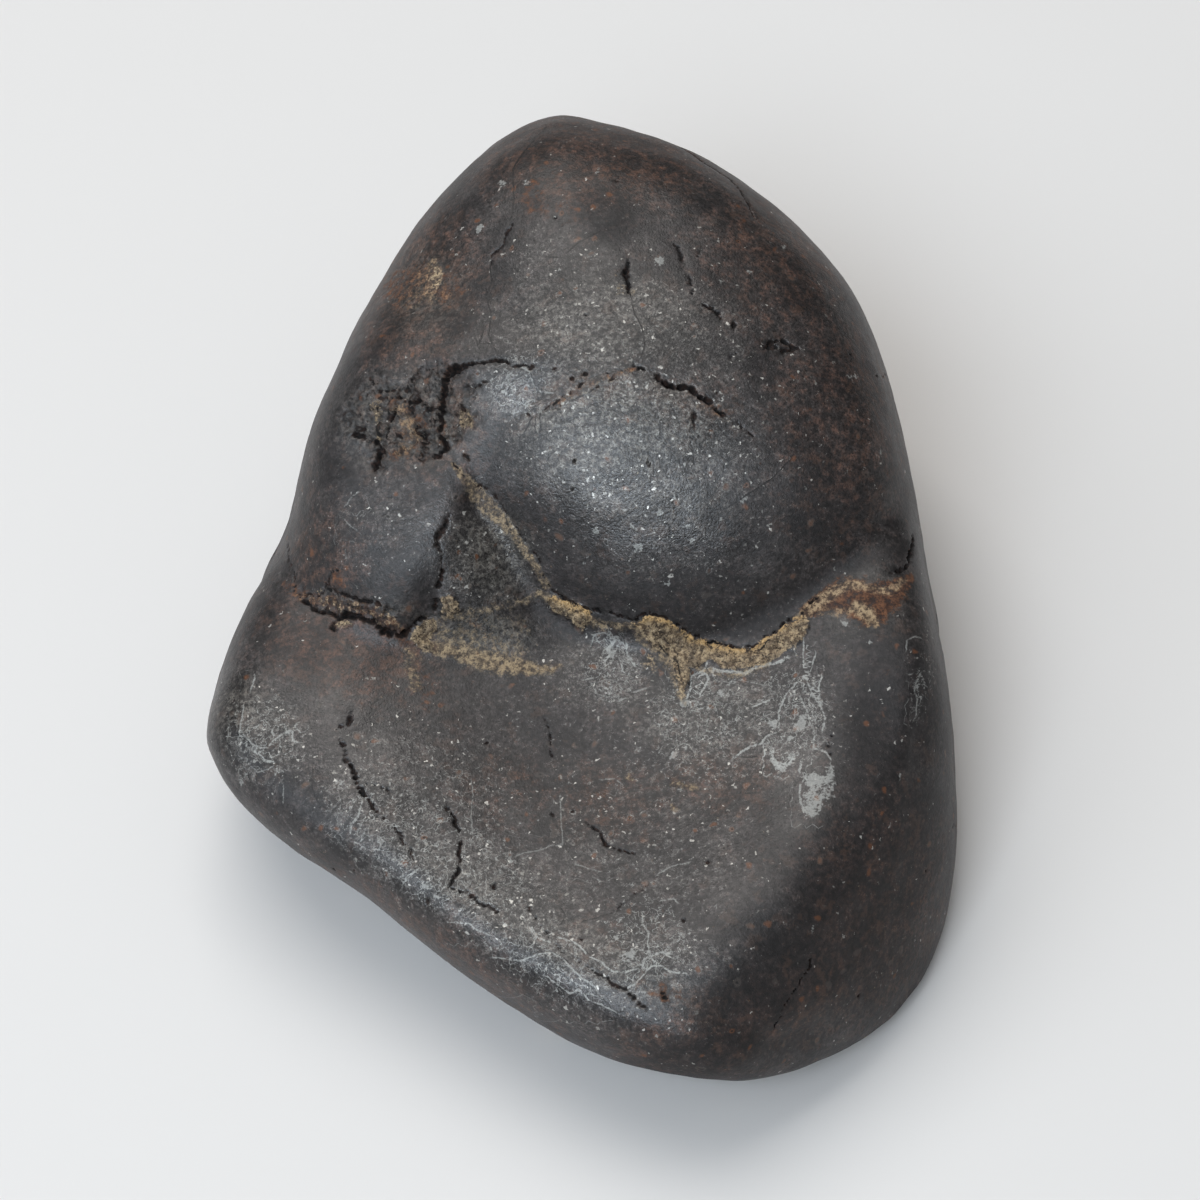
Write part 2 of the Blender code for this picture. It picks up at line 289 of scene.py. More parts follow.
# ================================================================ cracks: half width mm, depth mm, pixels
CRACKS = [
    # crease under the head, and the crack that goes on from it
    (0.10, 0.42, [(549, 590), (566, 600), (580, 606), (606, 613), (634, 620), (646, 614), (666, 616), (680, 625),
                  (693, 636), (710, 641), (725, 645), (738, 647), (753, 645), (767, 633), (781, 625), (800, 612), (820, 596)]),
    (0.24, 0.75, [(893, 572), (904, 569), (909, 562), (911, 552), (915, 536)]),
    (0.07, 0.28, [(451, 461), (460, 473), (475, 484), (489, 492), (499, 504), (511, 520), (522, 537), (534, 554), (549, 590)]),
    # between shoulder and wedge
    (0.12, 0.45, [(409, 629), (420, 621), (435, 617), (437, 598), (441, 580), (443, 560), (438, 540), (445, 525), (451, 516)]),
    # below the shoulder
    (0.09, 0.30, [(288, 544), (289, 556), (293, 567), (294, 582), (293, 599), (297, 606)]),
    (0.15, 0.55, [(299, 593), (306, 603), (316, 610), (327, 612), (334, 613)]),
    (0.27, 0.95, [(331, 613), (338, 618), (347, 616), (359, 617)]),
    (0.13, 0.50, [(338, 618), (333, 624), (333, 634)]),
    (0.09, 0.30, [(299, 593), (310, 595), (318, 597), (322, 590), (328, 581), (331, 574), (339, 567)]),
    (0.14, 0.50, [(327, 589), (342, 595), (355, 599), (365, 600), (376, 603), (388, 612)]),
    (0.24, 0.80, [(359, 617), (373, 624), (382, 632), (393, 635), (402, 637), (409, 630)]),
    (0.06, 0.20, [(313, 570), (314, 582)]),
    # the stepped crack and the broken corner left of the dome
    (0.15, 0.55, [(509, 363), (495, 360), (478, 363), (465, 366)]),
    (0.34, 1.00, [(465, 366), (453, 368), (446, 380), (444, 397)]),
    (0.22, 0.80, [(444, 397), (440, 410), (440, 426), (442, 438), (446, 450), (437, 457), (429, 458)]),
    (0.10, 0.35, [(368, 375), (375, 390), (393, 391), (403, 381), (407, 371)]),
    (0.10, 0.35, [(396, 393), (407, 403), (419, 400), (428, 410), (437, 407)]),
    (0.09, 0.30, [(422, 359), (414, 377), (416, 385)]),
    (0.14, 0.50, [(351, 436), (361, 429), (353, 435), (374, 441), (379, 446)]),
    (0.26, 0.90, [(379, 444), (377, 459), (373, 471)]),
    (0.13, 0.45, [(397, 409), (391, 420), (387, 438)]),
    (0.10, 0.40, [(491, 377), (475, 388), (471, 403)]),
    (0.08, 0.30, [(413, 426), (417, 432), (425, 447), (431, 442)]),
    (0.09, 0.30, [(465, 446), (466, 455), (470, 461)]),
    # dome
    (0.12, 0.40, [(511, 224), (505, 241), (492, 257), (490, 264)]),
    (0.10, 0.28, [(508, 364), (520, 366), (536, 369), (542, 370)]),
    (0.08, 0.22, [(521, 414), (540, 413), (551, 404), (563, 397), (574, 391), (588, 379), (600, 374), (617, 372), (630, 368),
                  (639, 363)]),
    (0.07, 0.20, [(551, 408), (565, 403), (580, 393), (600, 385), (612, 380), (622, 376)]),
    (0.17, 0.55, [(637, 366), (644, 368), (651, 374), (662, 382), (676, 388)]),
    (0.25, 0.75, [(660, 381), (674, 387), (683, 386), (694, 393), (704, 400), (716, 408)]),
    (0.14, 0.40, [(712, 406), (720, 413), (728, 417)]),
    (0.07, 0.20, [(719, 389), (715, 396)]),
    (0.18, 0.60, [(628, 259), (626, 268), (626, 278), (629, 292)]),
    (0.15, 0.45, [(669, 240), (679, 250), (685, 266)]),
    (0.09, 0.30, [(690, 276), (693, 287)]),
    (0.16, 0.45, [(702, 305), (711, 307), (716, 311), (722, 318)]),
    (0.21, 0.50, [(766, 346), (773, 342), (783, 341), (791, 344), (798, 347)]),
    (0.19, 0.40, [(767, 348), (776, 347), (786, 349), (797, 348)]),
    (0.10, 0.35, [(415, 418), (417, 430), (428, 442)]),
    (0.06, 0.20, [(704, 247), (694, 259)]),
    (0.08, 0.22, [(840, 357), (852, 354)]),
    (0.09, 0.25, [(735, 352), (730, 359)]),
    (0.12, 0.35, [(695, 412), (694, 421), (696, 429)]),
    (0.10, 0.28, [(736, 424), (744, 431)]),
    (0.10, 0.28, [(747, 431), (755, 436)]),
    (0.08, 0.22, [(621, 176), (613, 184)]),
    (0.09, 0.25, [(449, 212), (443, 222)]),
    # shelf
    (0.14, 0.40, [(353, 711), (348, 725)]),
    (0.16, 0.50, [(339, 740), (346, 749), (348, 763), (356, 775), (359, 786), (365, 798), (373, 806), (375, 816)]),
    (0.08, 0.25, [(375, 816), (382, 819), (390, 819), (395, 829), (404, 841), (410, 850), (418, 865)]),
    (0.08, 0.22, [(367, 784), (379, 786), (388, 789), (393, 799)]),
    (0.12, 0.38, [(447, 805), (454, 816), (460, 832), (461, 849), (458, 860), (457, 872), (449, 887)]),
    (0.12, 0.35, [(449, 887), (466, 893), (483, 903), (501, 914)]),
    (0.07, 0.20, [(525, 902), (539, 922), (552, 943), (573, 958), (588, 967)]),
    (0.11, 0.30, [(588, 967), (609, 981), (627, 994), (648, 1010)]),
    (0.07, 0.22, [(542, 714), (549, 724), (551, 744), (553, 767)]),
    (0.10, 0.30, [(585, 821), (600, 832), (606, 845), (619, 849), (633, 853)]),
    (0.08, 0.20, [(650, 881), (632, 895), (613, 912)]),
    (0.08, 0.22, [(837, 719), (828, 737), (829, 757)]),
    (0.09, 0.26, [(822, 953), (825, 970), (807, 996), (794, 1016), (784, 1044)]),
]
# cracks on the far sides: half width, depth, bearings (azimuth, elevation) from ORIGIN
FAR_CRACKS = [
    (0.16, 0.55, [(62, 50), (66, 47), (70, 44), (75, 43), (79, 41), (84, 37), (88, 36), (95, 33), (103, 33)]),
    (0.09, 0.30, [(88, 36), (91, 31), (90, 27), (94, 22), (96, 19), (97, 10)]),
    (0.07, 0.22, [(30, 44), (33, 39), (36, 35), (35, 30), (37, 26), (44, 18), (46, 9)]),
    (0.13, 0.45, [(136, 34), (140, 30), (143, 28), (148, 28), (152, 26), (157, 22), (160, 20), (163, 13)]),
    (0.08, 0.25, [(152, 26), (150, 17), (153, 8), (150, 0)]),
    (0.10, 0.35, [(-8, 20), (-2, 14), (6, 12), (12, 6), (20, 4)]),
    (0.07, 0.22, [(118, 18), (122, 9), (130, 4), (133, -5)]),
    (0.08, 0.25, [(-150, 0), (-144, -6), (-134, -7), (-126, -12)]),
    (0.09, 0.28, [(-30, 6), (-24, -3), (-22, -10)]),
    (0.22, 0.60, [(170, 10), (173, 7), (177, 6)]),
    (0.18, 0.50, [(72, 18), (75, 14), (74, 10)]),
    (0.16, 0.45, [(44, 30), (48, 31), (51, 29)]),
]
# fine dark hairlines, pixels
HAIRS = [
    [(547, 126), (533, 141), (521, 157), (513, 169), (513, 182), (514, 198), (511, 224)],
    [(490, 264), (492, 283), (486, 296), (491, 312), (489, 337), (497, 353), (507, 363)],
    [(474, 334), (480, 350), (478, 360)], [(639, 363), (645, 345), (642, 328), (634, 312), (630, 292)],
    [(620, 200), (625, 215)], [(566, 253), (580, 241), (600, 231)], [(547, 257), (560, 257)],
    [(531, 373), (539, 396)], [(541, 377), (542, 397)], [(532, 417), (524, 434)], [(540, 413), (541, 428), (538, 440)],
    [(573, 400), (590, 392), (600, 384)], [(313, 769), (312, 787), (316, 800), (327, 809)],
    [(579, 922), (596, 918), (613, 912)], [(648, 1010), (660, 1022)], [(738, 756), (751, 757), (757, 756)],
    [(660, 646), (669, 656), (678, 663), (680, 675)], [(540, 958), (560, 972), (575, 985)],
    [(745, 793), (757, 792)], [(723, 510), (745, 496), (770, 480), (794, 456)], [(862, 306), (868, 318)],
    [(443, 560), (441, 575), (440, 590)], [(560, 906), (566, 916), (560, 925)], [(770, 640), (757, 652)],
]
# pale hairlines: strength, half width mm, pixels
PALE_LINES = [
    (1.00, 0.075, [(707, 661), (705, 669), (692, 676), (690, 690), (684, 703), (676, 703)]),
    (1.00, 0.140, [(713, 668), (719, 671), (732, 671), (745, 673), (757, 666), (776, 663), (789, 657)]),
    (0.85, 0.065, [(804, 628), (804, 640), (803, 659), (805, 674), (799, 680), (786, 694), (780, 707), (778, 720), (780, 730)]),
    (0.90, 0.080, [(780, 730), (766, 736), (762, 743), (749, 747), (742, 751), (732, 759)]),
    (0.80, 0.060, [(816, 653), (810, 671), (807, 680), (812, 694), (820, 705), (825, 717), (822, 730)]),
    (0.90, 0.075, [(822, 676), (818, 686), (820, 705)]), (0.70, 0.060, [(799, 695), (807, 711), (810, 724)]),
    (0.80, 0.070, [(814, 732), (812, 747), (824, 749), (830, 757)]), (0.95, 0.080, [(752, 707), (760, 704), (769, 700)]),
    (1.00, 0.230, [(772, 748), (772, 759), (780, 767), (789, 762), (792, 754)]), (0.80, 0.100, [(801, 760), (799, 771)]),
    (0.75, 0.080, [(806, 774), (800, 784), (799, 796), (802, 806), (808, 814), (816, 812)]),
    (0.70, 0.060, [(591, 647), (594, 635), (604, 632), (611, 638), (612, 648)]), (0.80, 0.075, [(607, 626), (614, 640)]),
    (1.00, 0.110, [(615, 641), (606, 650), (612, 653), (604, 661)]), (1.00, 0.100, [(627, 644), (627, 654)]),
    (1.00, 0.120, [(630, 658), (635, 666)]), (0.40, 0.050, [(595, 692), (597, 683), (606, 679), (617, 682), (623, 690),
                                                           (617, 697), (605, 697), (595, 692)]),
    (0.60, 0.055, [(601, 686), (609, 689), (613, 686)]), (0.60, 0.055, [(618, 701), (627, 698)]),
    (0.60, 0.060, [(633, 693), (646, 688)]), (0.60, 0.060, [(583, 680), (592, 678)]),
    (0.90, 0.080, [(704, 670), (709, 678), (702, 691), (699, 697)]), (0.50, 0.050, [(560, 795), (561, 818), (563, 845)]),
    (0.45, 0.050, [(562, 846), (552, 845), (542, 850), (527, 852), (516, 856)]), (0.50, 0.050, [(573, 863), (586, 867), (600, 871)]),
    (0.45, 0.050, [(471, 780), (473, 795), (471, 814), (473, 835)]),
    (0.95, 0.065, [(558, 937), (569, 940), (579, 945), (588, 956), (602, 962), (611, 971), (623, 972), (636, 969)]),
    (0.90, 0.070, [(642, 968), (644, 958), (657, 953), (671, 952)]),
    (0.95, 0.065, [(627, 988), (636, 983), (643, 975), (650, 966), (661, 965), (669, 971), (684, 973)]),
    (0.80, 0.055, [(642, 912), (643, 924), (649, 933), (647, 943), (650, 952)]),
    (0.85, 0.060, [(491, 957), (506, 959), (521, 961), (535, 955), (550, 952), (562, 958), (571, 968), (583, 979), (596, 988)]),
    (0.80, 0.055, [(546, 975), (558, 985), (571, 994), (579, 989), (588, 1000), (604, 1006), (617, 1013)]),
    (0.75, 0.055, [(447, 922), (468, 923), (479, 931), (489, 935)]), (0.90, 0.075, [(531, 927), (537, 937), (550, 942)]),
    (0.70, 0.060, [(244, 706), (240, 728), (238, 741)]), (0.80, 0.060, [(255, 676), (250, 690)]),
    (0.80, 0.060, [(243, 734), (252, 744), (260, 748), (269, 747), (272, 741), (278, 737), (286, 732), (293, 729), (298, 723)]),
    (1.00, 0.120, [(253, 750), (260, 755), (264, 761), (274, 762)]), (0.80, 0.060, [(293, 729), (292, 740), (301, 744)]),
    (0.90, 0.070, [(362, 801), (359, 813), (356, 819), (352, 823), (350, 832)]),
    (0.90, 0.075, [(418, 869), (410, 875), (404, 883)]), (0.60, 0.055, [(410, 875), (396, 877)]),
    (0.50, 0.050, [(283, 786), (283, 804)]), (0.70, 0.060, [(924, 671), (919, 687), (926, 695), (928, 708), (930, 712)]),
    (0.50, 0.060, [(907, 650), (907, 640), (915, 636), (921, 638)]), (0.50, 0.050, [(910, 672), (915, 672)]),
    (0.70, 0.060, [(519, 366), (530, 372), (533, 384), (541, 392), (553, 393)]), (0.60, 0.060, [(512, 372), (506, 378), (500, 388)]),
    (0.60, 0.050, [(513, 414), (519, 411), (530, 413)]), (0.70, 0.060, [(660, 900), (673, 898), (678, 903)]),
    (0.50, 0.050, [(345, 520), (352, 527), (360, 533)]), (0.45, 0.050, [(345, 507), (352, 497), (360, 491)]),
    (0.50, 0.050, [(600, 780), (613, 778), (622, 783)]), (0.60, 0.050, [(658, 873), (672, 866), (690, 862)]),
]
# single pits: pixel, radius mm, depth mm
PITS = [
    (494, 886, 0.28, 0.35), (429, 902, 0.24, 0.32), (486, 742, 0.20, 0.25), (684, 921, 0.18, 0.30), (708, 862, 0.16, 0.25),
    (876, 1009, 0.20, 0.30), (943, 873, 0.18, 0.25), (662, 997, 0.26, 0.35), (573, 812, 0.17, 0.20), (811, 346, 0.13, 0.25),
    (556, 218, 0.15, 0.25), (735, 325, 0.28, 0.45), (694, 292, 0.13, 0.25), (711, 432, 0.10, 0.2), (708, 437, 0.09, 0.2),
    (650, 464, 0.13, 0.25), (572, 489, 0.12, 0.25), (405, 634, 0.36, 0.60), (489, 492, 0.16, 0.30), (481, 490, 0.12, 0.25),
    (341, 725, 0.17, 0.3), (234, 701, 0.14, 0.25), (240, 692, 0.12, 0.2), (618, 309, 0.13, 0.2), (585, 316, 0.10, 0.2),
    (573, 379, 0.22, 0.3), (584, 373, 0.20, 0.3), (553, 368, 0.13, 0.25), (648, 461, 0.10, 0.2), (575, 462, 0.12, 0.25),
    (335, 869, 0.16, 0.25), (354, 870, 0.14, 0.2), (580, 937, 0.16, 0.2), (552, 815, 0.18, 0.2), (418, 400, 0.30, 0.5),
]


# ================================================================ the fine mesh
def sphere(level):
    bm = bmesh.new()
    bmesh.ops.create_icosphere(bm, subdivisions=level, radius=1.0)
    d = np.array([v.co[:] for v in bm.verts], float)
    f = np.array([[v.index for v in x.verts] for x in bm.faces])
    e = np.array([[x.verts[0].index, x.verts[1].index] for x in bm.edges])
    bm.free()
    return d / np.linalg.norm(d, axis=1)[:, None], f, e


def redraw(p, reach, steps=9, halvings=12):
    """Points near the stone, moved along their rays onto it."""
    q = p - np.array(ORIGIN)
    r = np.linalg.norm(q, axis=1)
    return draw_out(q / r[:, None], r + reach, np.maximum(r - reach, 1.0), steps=steps, halvings=halvings)


def relax(p, e, rounds):
    for _ in range(rounds):
        span = np.linalg.norm(p[e[:, 0]] - p[e[:, 1]], axis=1)
        total, weight = np.zeros_like(p), np.zeros(len(p))
        for a, b in ((0, 1), (1, 0)):
            np.add.at(total, e[:, a], p[e[:, b]] * span[:, None])
            np.add.at(weight, e[:, a], span)
        p = redraw(p * 0.3 + total / weight[:, None] * 0.7, 2.5)
    return p


def split(p, f, size_at):
    """Halve the edges that are longer than size_at their middle, keeping the mesh closed."""
    n = len(p)
    e = np.sort(np.concatenate([f[:, [0, 1]], f[:, [1, 2]], f[:, [2, 0]]]), axis=1)
    key, inv = np.unique(e[:, 0].astype(np.int64) * n + e[:, 1], return_inverse=True)
    a, b = key // n, key % n
    middle = (p[a] + p[b]) / 2
    length = np.linalg.norm(p[a] - p[b], axis=1)
    mark = np.zeros(len(key), bool)
    long_ = np.nonzero(length > FINEST)[0]
    mark[long_] = length[long_] > size_at(middle[long_])
    tri = inv.reshape(3, -1).T
    longest = np.argmax(length[tri], axis=1)
    while True:
        has = np.nonzero(mark[tri].any(axis=1))[0]
        new = mark.copy()
        new[tri[has, longest[has]]] = True
        if (new == mark).all():
            break
        mark = new
    if not mark.any():
        return p, f, 0
    idx = np.full(len(key), -1)
    idx[mark] = n + np.arange(mark.sum())
    reach = np.clip(length[mark] * 0.35, 0.05, 1.0)
    fresh = redraw(middle[mark], reach, 5, 9)
    far = np.linalg.norm(fresh - middle[mark], axis=1) > reach * 1.1
    fresh[far] = middle[mark][far]
    roll = np.arange(len(f))
    A, B, C = f[roll, longest], f[roll, (longest + 1) % 3], f[roll, (longest + 2) % 3]
    m = idx[tri[roll, longest]]
    mb = idx[tri[roll, (longest + 1) % 3]]
    mc = idx[tri[roll, (longest + 2) % 3]]
    out = [f[m < 0]]
    k = (m >= 0) & (mb < 0) & (mc < 0)
    out += [np.stack([A, m, C], 1)[k], np.stack([m, B, C], 1)[k]]
    k = (m >= 0) & (mb >= 0) & (mc < 0)
    out += [np.stack([A, m, C], 1)[k], np.stack([m, B, mb], 1)[k], np.stack([m, mb, C], 1)[k]]
    k = (m >= 0) & (mb < 0) & (mc >= 0)
    out += [np.stack([m, B, C], 1)[k], np.stack([A, m, mc], 1)[k], np.stack([m, C, mc], 1)[k]]
    k = (m >= 0) & (mb >= 0) & (mc >= 0)
    out += [np.stack([A, m, mc], 1)[k], np.stack([m, B, mb], 1)[k], np.stack([m, mb, mc], 1)[k],
            np.stack([mc, mb, C], 1)[k]]
    return np.concatenate([p, fresh]), np.concatenate(out), int(mark.sum())


def normals(p):
    h = 0.05
    k = np.array([[1, -1, -1], [-1, -1, 1], [-1, 1, -1], [1, 1, 1]], float)
    g = sum(s * field(p + s * h)[:, None] for s in k)
    return g / np.maximum(np.linalg.norm(g, axis=1), 1e-9)[:, None]


def line_distance(p, line, margin):
    """Distance to a polyline, and how far along it, for the points near it."""
    lo, hi = line.min(axis=0) - margin, line.max(axis=0) + margin
    near = np.nonzero(((p > lo) & (p < hi)).all(axis=1))[0]
    q = p[near]
    best, along = np.full(len(q), 1e9), np.zeros(len(q))
    seg = np.linalg.norm(np.diff(line, axis=0), axis=1)
    start = np.concatenate([[0], np.cumsum(seg)])
    for i in range(len(line) - 1):
        a, d = line[i], line[i + 1] - line[i]
        t = np.clip((q - a) @ d / max(d @ d, 1e-9), 0, 1)
        x = np.linalg.norm(q - a - t[:, None] * d, axis=1)
        c = x < best
        best[c] = x[c]
        along[c] = start[i] + t[c] * seg[i]
    return near, best, along, start[-1]


def drawn(px, py, lines):
    """Signed distance in mm from the nearest of the picture lines, with its strength and width."""
    best, power, wide = np.full(len(px), 9.0), np.zeros(len(px)), np.full(len(px), 0.06)
    for strength, w, points in lines:
        t = np.array(points, float)
        near = np.nonzero((px > t[:, 0].min() - 9) & (px < t[:, 0].max() + 9)
                          & (py > t[:, 1].min() - 9) & (py < t[:, 1].max() + 9))[0]
        x, y = px[near], py[near]
        for i in range(len(t) - 1):
            a, d = t[i], t[i + 1] - t[i]
            s = ((x - a[0]) * d[0] + (y - a[1]) * d[1]) / (d @ d)
            over = np.maximum(np.maximum(-s, s - 1), 0) * math.sqrt(d @ d)
            s = np.clip(s, 0, 1)
            r = np.hypot(x - a[0] - s * d[0], y - a[1] - s * d[1]) * 0.075
            sign = np.where((x - a[0]) * d[1] - (y - a[1]) * d[0] >= 0, 1.0, -1.0)
            c = near[r < np.abs(best[near])]
            k = r < np.abs(best[near])
            best[c] = (r * sign)[k]
            last = (i == 0) | (i == len(t) - 2)
            power[c] = strength * (1 - np.clip(over[k] / 1.5, 0, 1) * last)
            wide[c] = w
    return best, power, wide


def band(px, py, points):
    """1 on a picture line, 0 at its half width and beyond; points are pixel, pixel, half width."""
    t = np.array(points, float)
    out = np.full(len(px), 9.0)
    for i in range(len(t) - 1):
        a, d = t[i, :2], t[i + 1, :2] - t[i, :2]
        s = np.clip(((px - a[0]) * d[0] + (py - a[1]) * d[1]) / (d @ d), 0, 1)
        x = np.hypot(px - a[0] - s * d[0], py - a[1] - s * d[1])
        out = np.minimum(out, x / (t[i, 2] + s * (t[i + 1, 2] - t[i, 2])))
    return np.clip(1 - out, 0, 1)


def blob(px, py, x, y, rx, ry, turn=0.0):
    c, s = math.cos(math.radians(turn)), math.sin(math.radians(turn))
    u, v = (px - x) * c + (py - y) * s, -(px - x) * s + (py - y) * c
    return np.clip(1 - np.hypot(u / rx, v / ry), 0, 1)


def patch_depth(px, py, corners):
    """Pixels inside a closed outline, negative outside it."""
    t = np.array(corners, float)
    best, inside = np.full(len(px), 1e9), np.zeros(len(px), bool)
    for i in range(len(t)):
        a, b = t[i], t[(i + 1) % len(t)]
        d = b - a
        s = np.clip(((px - a[0]) * d[0] + (py - a[1]) * d[1]) / (d @ d), 0, 1)
        best = np.minimum(best, np.hypot(px - a[0] - s * d[0], py - a[1] - s * d[1]))
        if a[1] != b[1]:
            cross = ((a[1] > py) != (b[1] > py)) & (px < (b[0] - a[0]) * (py - a[1]) / (b[1] - a[1]) + a[0])
            inside ^= cross
    return np.where(inside, best, -best)


def chips(p, size, seed=0):
    """Broken lumps of about this size: how near the lump's middle, the gap beside it, and its own number."""
    q = p / size
    base = np.floor(q).astype(int)
    d1, d2, own = np.full(len(q), 9.0), np.full(len(q), 9.0), np.zeros(len(q))
    for dx in (-1, 0, 1):
        for dy in (-1, 0, 1):
            for dz in (-1, 0, 1):
                c = base + (dx, dy, dz)
                h = _perm[_perm[_perm[(c[:, 0] + seed) & 255] + (c[:, 1] & 255)] + (c[:, 2] & 255)]
                off = np.stack([h, _perm[h + 1], _perm[h + 2]], 1) / 256.0
                r = np.linalg.norm(c + off - q, axis=1)
                nearer = r < d1
                d2 = np.where(nearer, d1, np.minimum(d2, r))
                own = np.where(nearer, _perm[h + 3] / 256.0, own)
                d1 = np.where(nearer, r, d1)
    return d1, d2 - d1, own


# pale brown crust in the creases, closed outlines in pixels
LIME = [
    [(634, 622), (645, 615), (660, 616), (670, 620), (683, 629), (697, 637), (710, 641), (725, 646), (738, 648), (750, 647),
     (766, 640), (782, 629), (796, 618), (806, 615), (808, 628), (802, 641), (794, 648), (780, 654), (766, 662), (753, 668),
     (736, 671), (718, 669), (710, 659), (700, 663), (690, 669), (688, 684), (683, 698), (679, 690), (678, 672), (670, 658),
     (656, 646), (642, 634)],
    [(548, 598), (560, 600), (575, 603), (589, 611), (596, 620), (588, 624), (582, 630), (574, 624), (566, 615), (554, 608)],
    [(439, 598), (446, 593), (456, 600), (460, 610), (452, 617), (442, 614)],
    [(410, 640), (416, 630), (426, 622), (434, 618), (438, 628), (430, 640), (432, 650), (420, 648)],
]
LIME_THIN = [
    [(428, 299), (431, 280), (436, 262), (441, 262), (440, 280), (434, 299)],
    [(372, 402), (378, 402), (378, 420), (378, 438), (373, 438)],
    [(459, 407), (470, 407), (474, 416), (470, 426), (461, 424)],
    [(337, 621), (345, 620), (351, 623), (348, 627), (339, 627)],
    [(299, 590), (322, 592), (345, 598), (376, 603), (392, 614), (400, 632), (382, 631), (362, 616), (337, 616), (316, 609)],
    [(648, 659), (654, 658), (658, 665), (652, 671), (647, 668)],
]
# soft pale brown stains: strength, then pixel, pixel, half width
STAINS = [
    (0.76, [(452, 463, 5), (464, 478, 9), (476, 492, 14), (488, 508, 16), (503, 522, 11), (517, 540, 8), (533, 562, 7), (547, 586, 7)]),
    (0.95, [(426, 646, 11), (450, 651, 13), (470, 657, 15), (492, 662, 17), (516, 667, 14), (540, 669, 10), (560, 668, 6)]),
    (0.50, [(444, 640, 24), (478, 642, 28), (516, 654, 20)]), (0.35, [(470, 620, 30), (520, 630, 26)]),
    (0.65, [(444, 618, 6), (460, 616, 7), (480, 611, 6), (505, 605, 6), (531, 600, 7)]), (0.60, [(410, 652, 12), (413, 672, 13), (418, 692, 8)]),
    (0.60, [(430, 628, 18), (448, 640, 20), (470, 640, 16)]), (0.75, [(536, 592, 6), (552, 600, 9), (576, 613, 12), (604, 626, 8), (634, 626, 7)]),
    (0.70, [(640, 634, 12), (660, 650, 13), (674, 672, 11), (684, 704, 6)]), (0.55, [(700, 668, 8), (730, 676, 7), (770, 664, 7)]),
    (0.80, [(800, 618, 9), (812, 607, 12), (830, 594, 12), (850, 584, 10), (872, 588, 8), (890, 590, 8), (904, 580, 6)]),
    (1.00, [(856, 606, 10), (868, 614, 13), (874, 622, 10)]), (0.60, [(818, 612, 8), (846, 612, 10)]), (0.38, [(412, 300, 20), (428, 280, 26), (446, 292, 16)]), (0.42, [(300, 596, 9), (340, 602, 10), (380, 612, 12), (404, 634, 10)]),
    (0.70, [(378, 402, 5), (378, 438, 5)]), (0.55, [(400, 410, 14), (414, 436, 16), (400, 452, 10)]), (0.60, [(434, 262, 8), (432, 300, 9)]),
    (0.80, [(674, 782, 7), (696, 788, 7)]), (0.80, [(673, 806, 6), (674, 809, 6)]), (0.75, [(628, 777, 6), (629, 780, 6)]),
    (0.45, [(620, 290, 10), (634, 292, 8)]), (0.40, [(700, 405, 9), (726, 418, 9)]), (0.35, [(560, 402, 7), (600, 382, 8), (630, 372, 7)]),
]
# soft rust: strength, then pixel, pixel, half width
RUST = [
    (1.15, [(806, 612, 10), (824, 602, 18), (846, 596, 28), (870, 604, 34), (892, 594, 22), (908, 580, 10)]),
    (0.50, [(396, 408, 18), (414, 424, 24), (410, 446, 20), (396, 456, 12)]),
    (0.55, [(400, 290, 28), (424, 282, 36), (448, 288, 26)]), (0.55, [(286, 584, 8), (306, 598, 12), (340, 602, 10), (380, 614, 13), (404, 640, 10)]),
    (0.60, [(336, 572, 9), (342, 592, 9)]), (0.70, [(662, 982, 9), (664, 998, 8)]),
    (0.48, [(552, 406, 4), (572, 394, 6), (592, 384, 7), (612, 376, 6), (636, 368, 4)]), (0.50, [(700, 400, 9), (728, 416, 9)]),
    (0.45, [(530, 186, 18), (534, 204, 16)]), (0.40, [(446, 364, 7), (444, 400, 8), (438, 450, 7)]),
    (0.25, [(620, 172, 30), (660, 178, 26)]), (0.22, [(560, 210, 26), (580, 214, 20)]), (0.30, [(404, 640, 16), (430, 700, 22)]),
    (0.35, [(470, 620, 10), (500, 650, 10)]), (0.40, [(690, 1000, 12), (640, 985, 10)]), (0.22, [(520, 780, 26), (600, 800, 30)]),
]
BROKEN = [(350, 400), (362, 380), (376, 372), (394, 388), (412, 370), (430, 362), (450, 366), (462, 366), (476, 380), (472, 400),
          (474, 420), (462, 432), (446, 440), (444, 452), (428, 462), (404, 456), (388, 464), (374, 466), (362, 450), (350, 438),
          (340, 420)]
# the shelf's right-hand ridge, pixels: the side beyond it falls away, and a band past it is painted in shade
RIDGE = [(872, 610), (858, 660), (845, 710), (837, 755), (830, 808), (810, 848), (785, 896), (752, 934), (712, 992), (674, 1044)]
FINEST = 0.11

LINES = [(w, d, cast(q)) for w, d, q in CRACKS]
LINES += [(w, d, draw_out(np.array([bearing(*b) for b in q]))) for w, d, q in FAR_CRACKS]
PIT_POINTS = [(cast([q[:2]]), q[2], q[3]) for q in PITS]


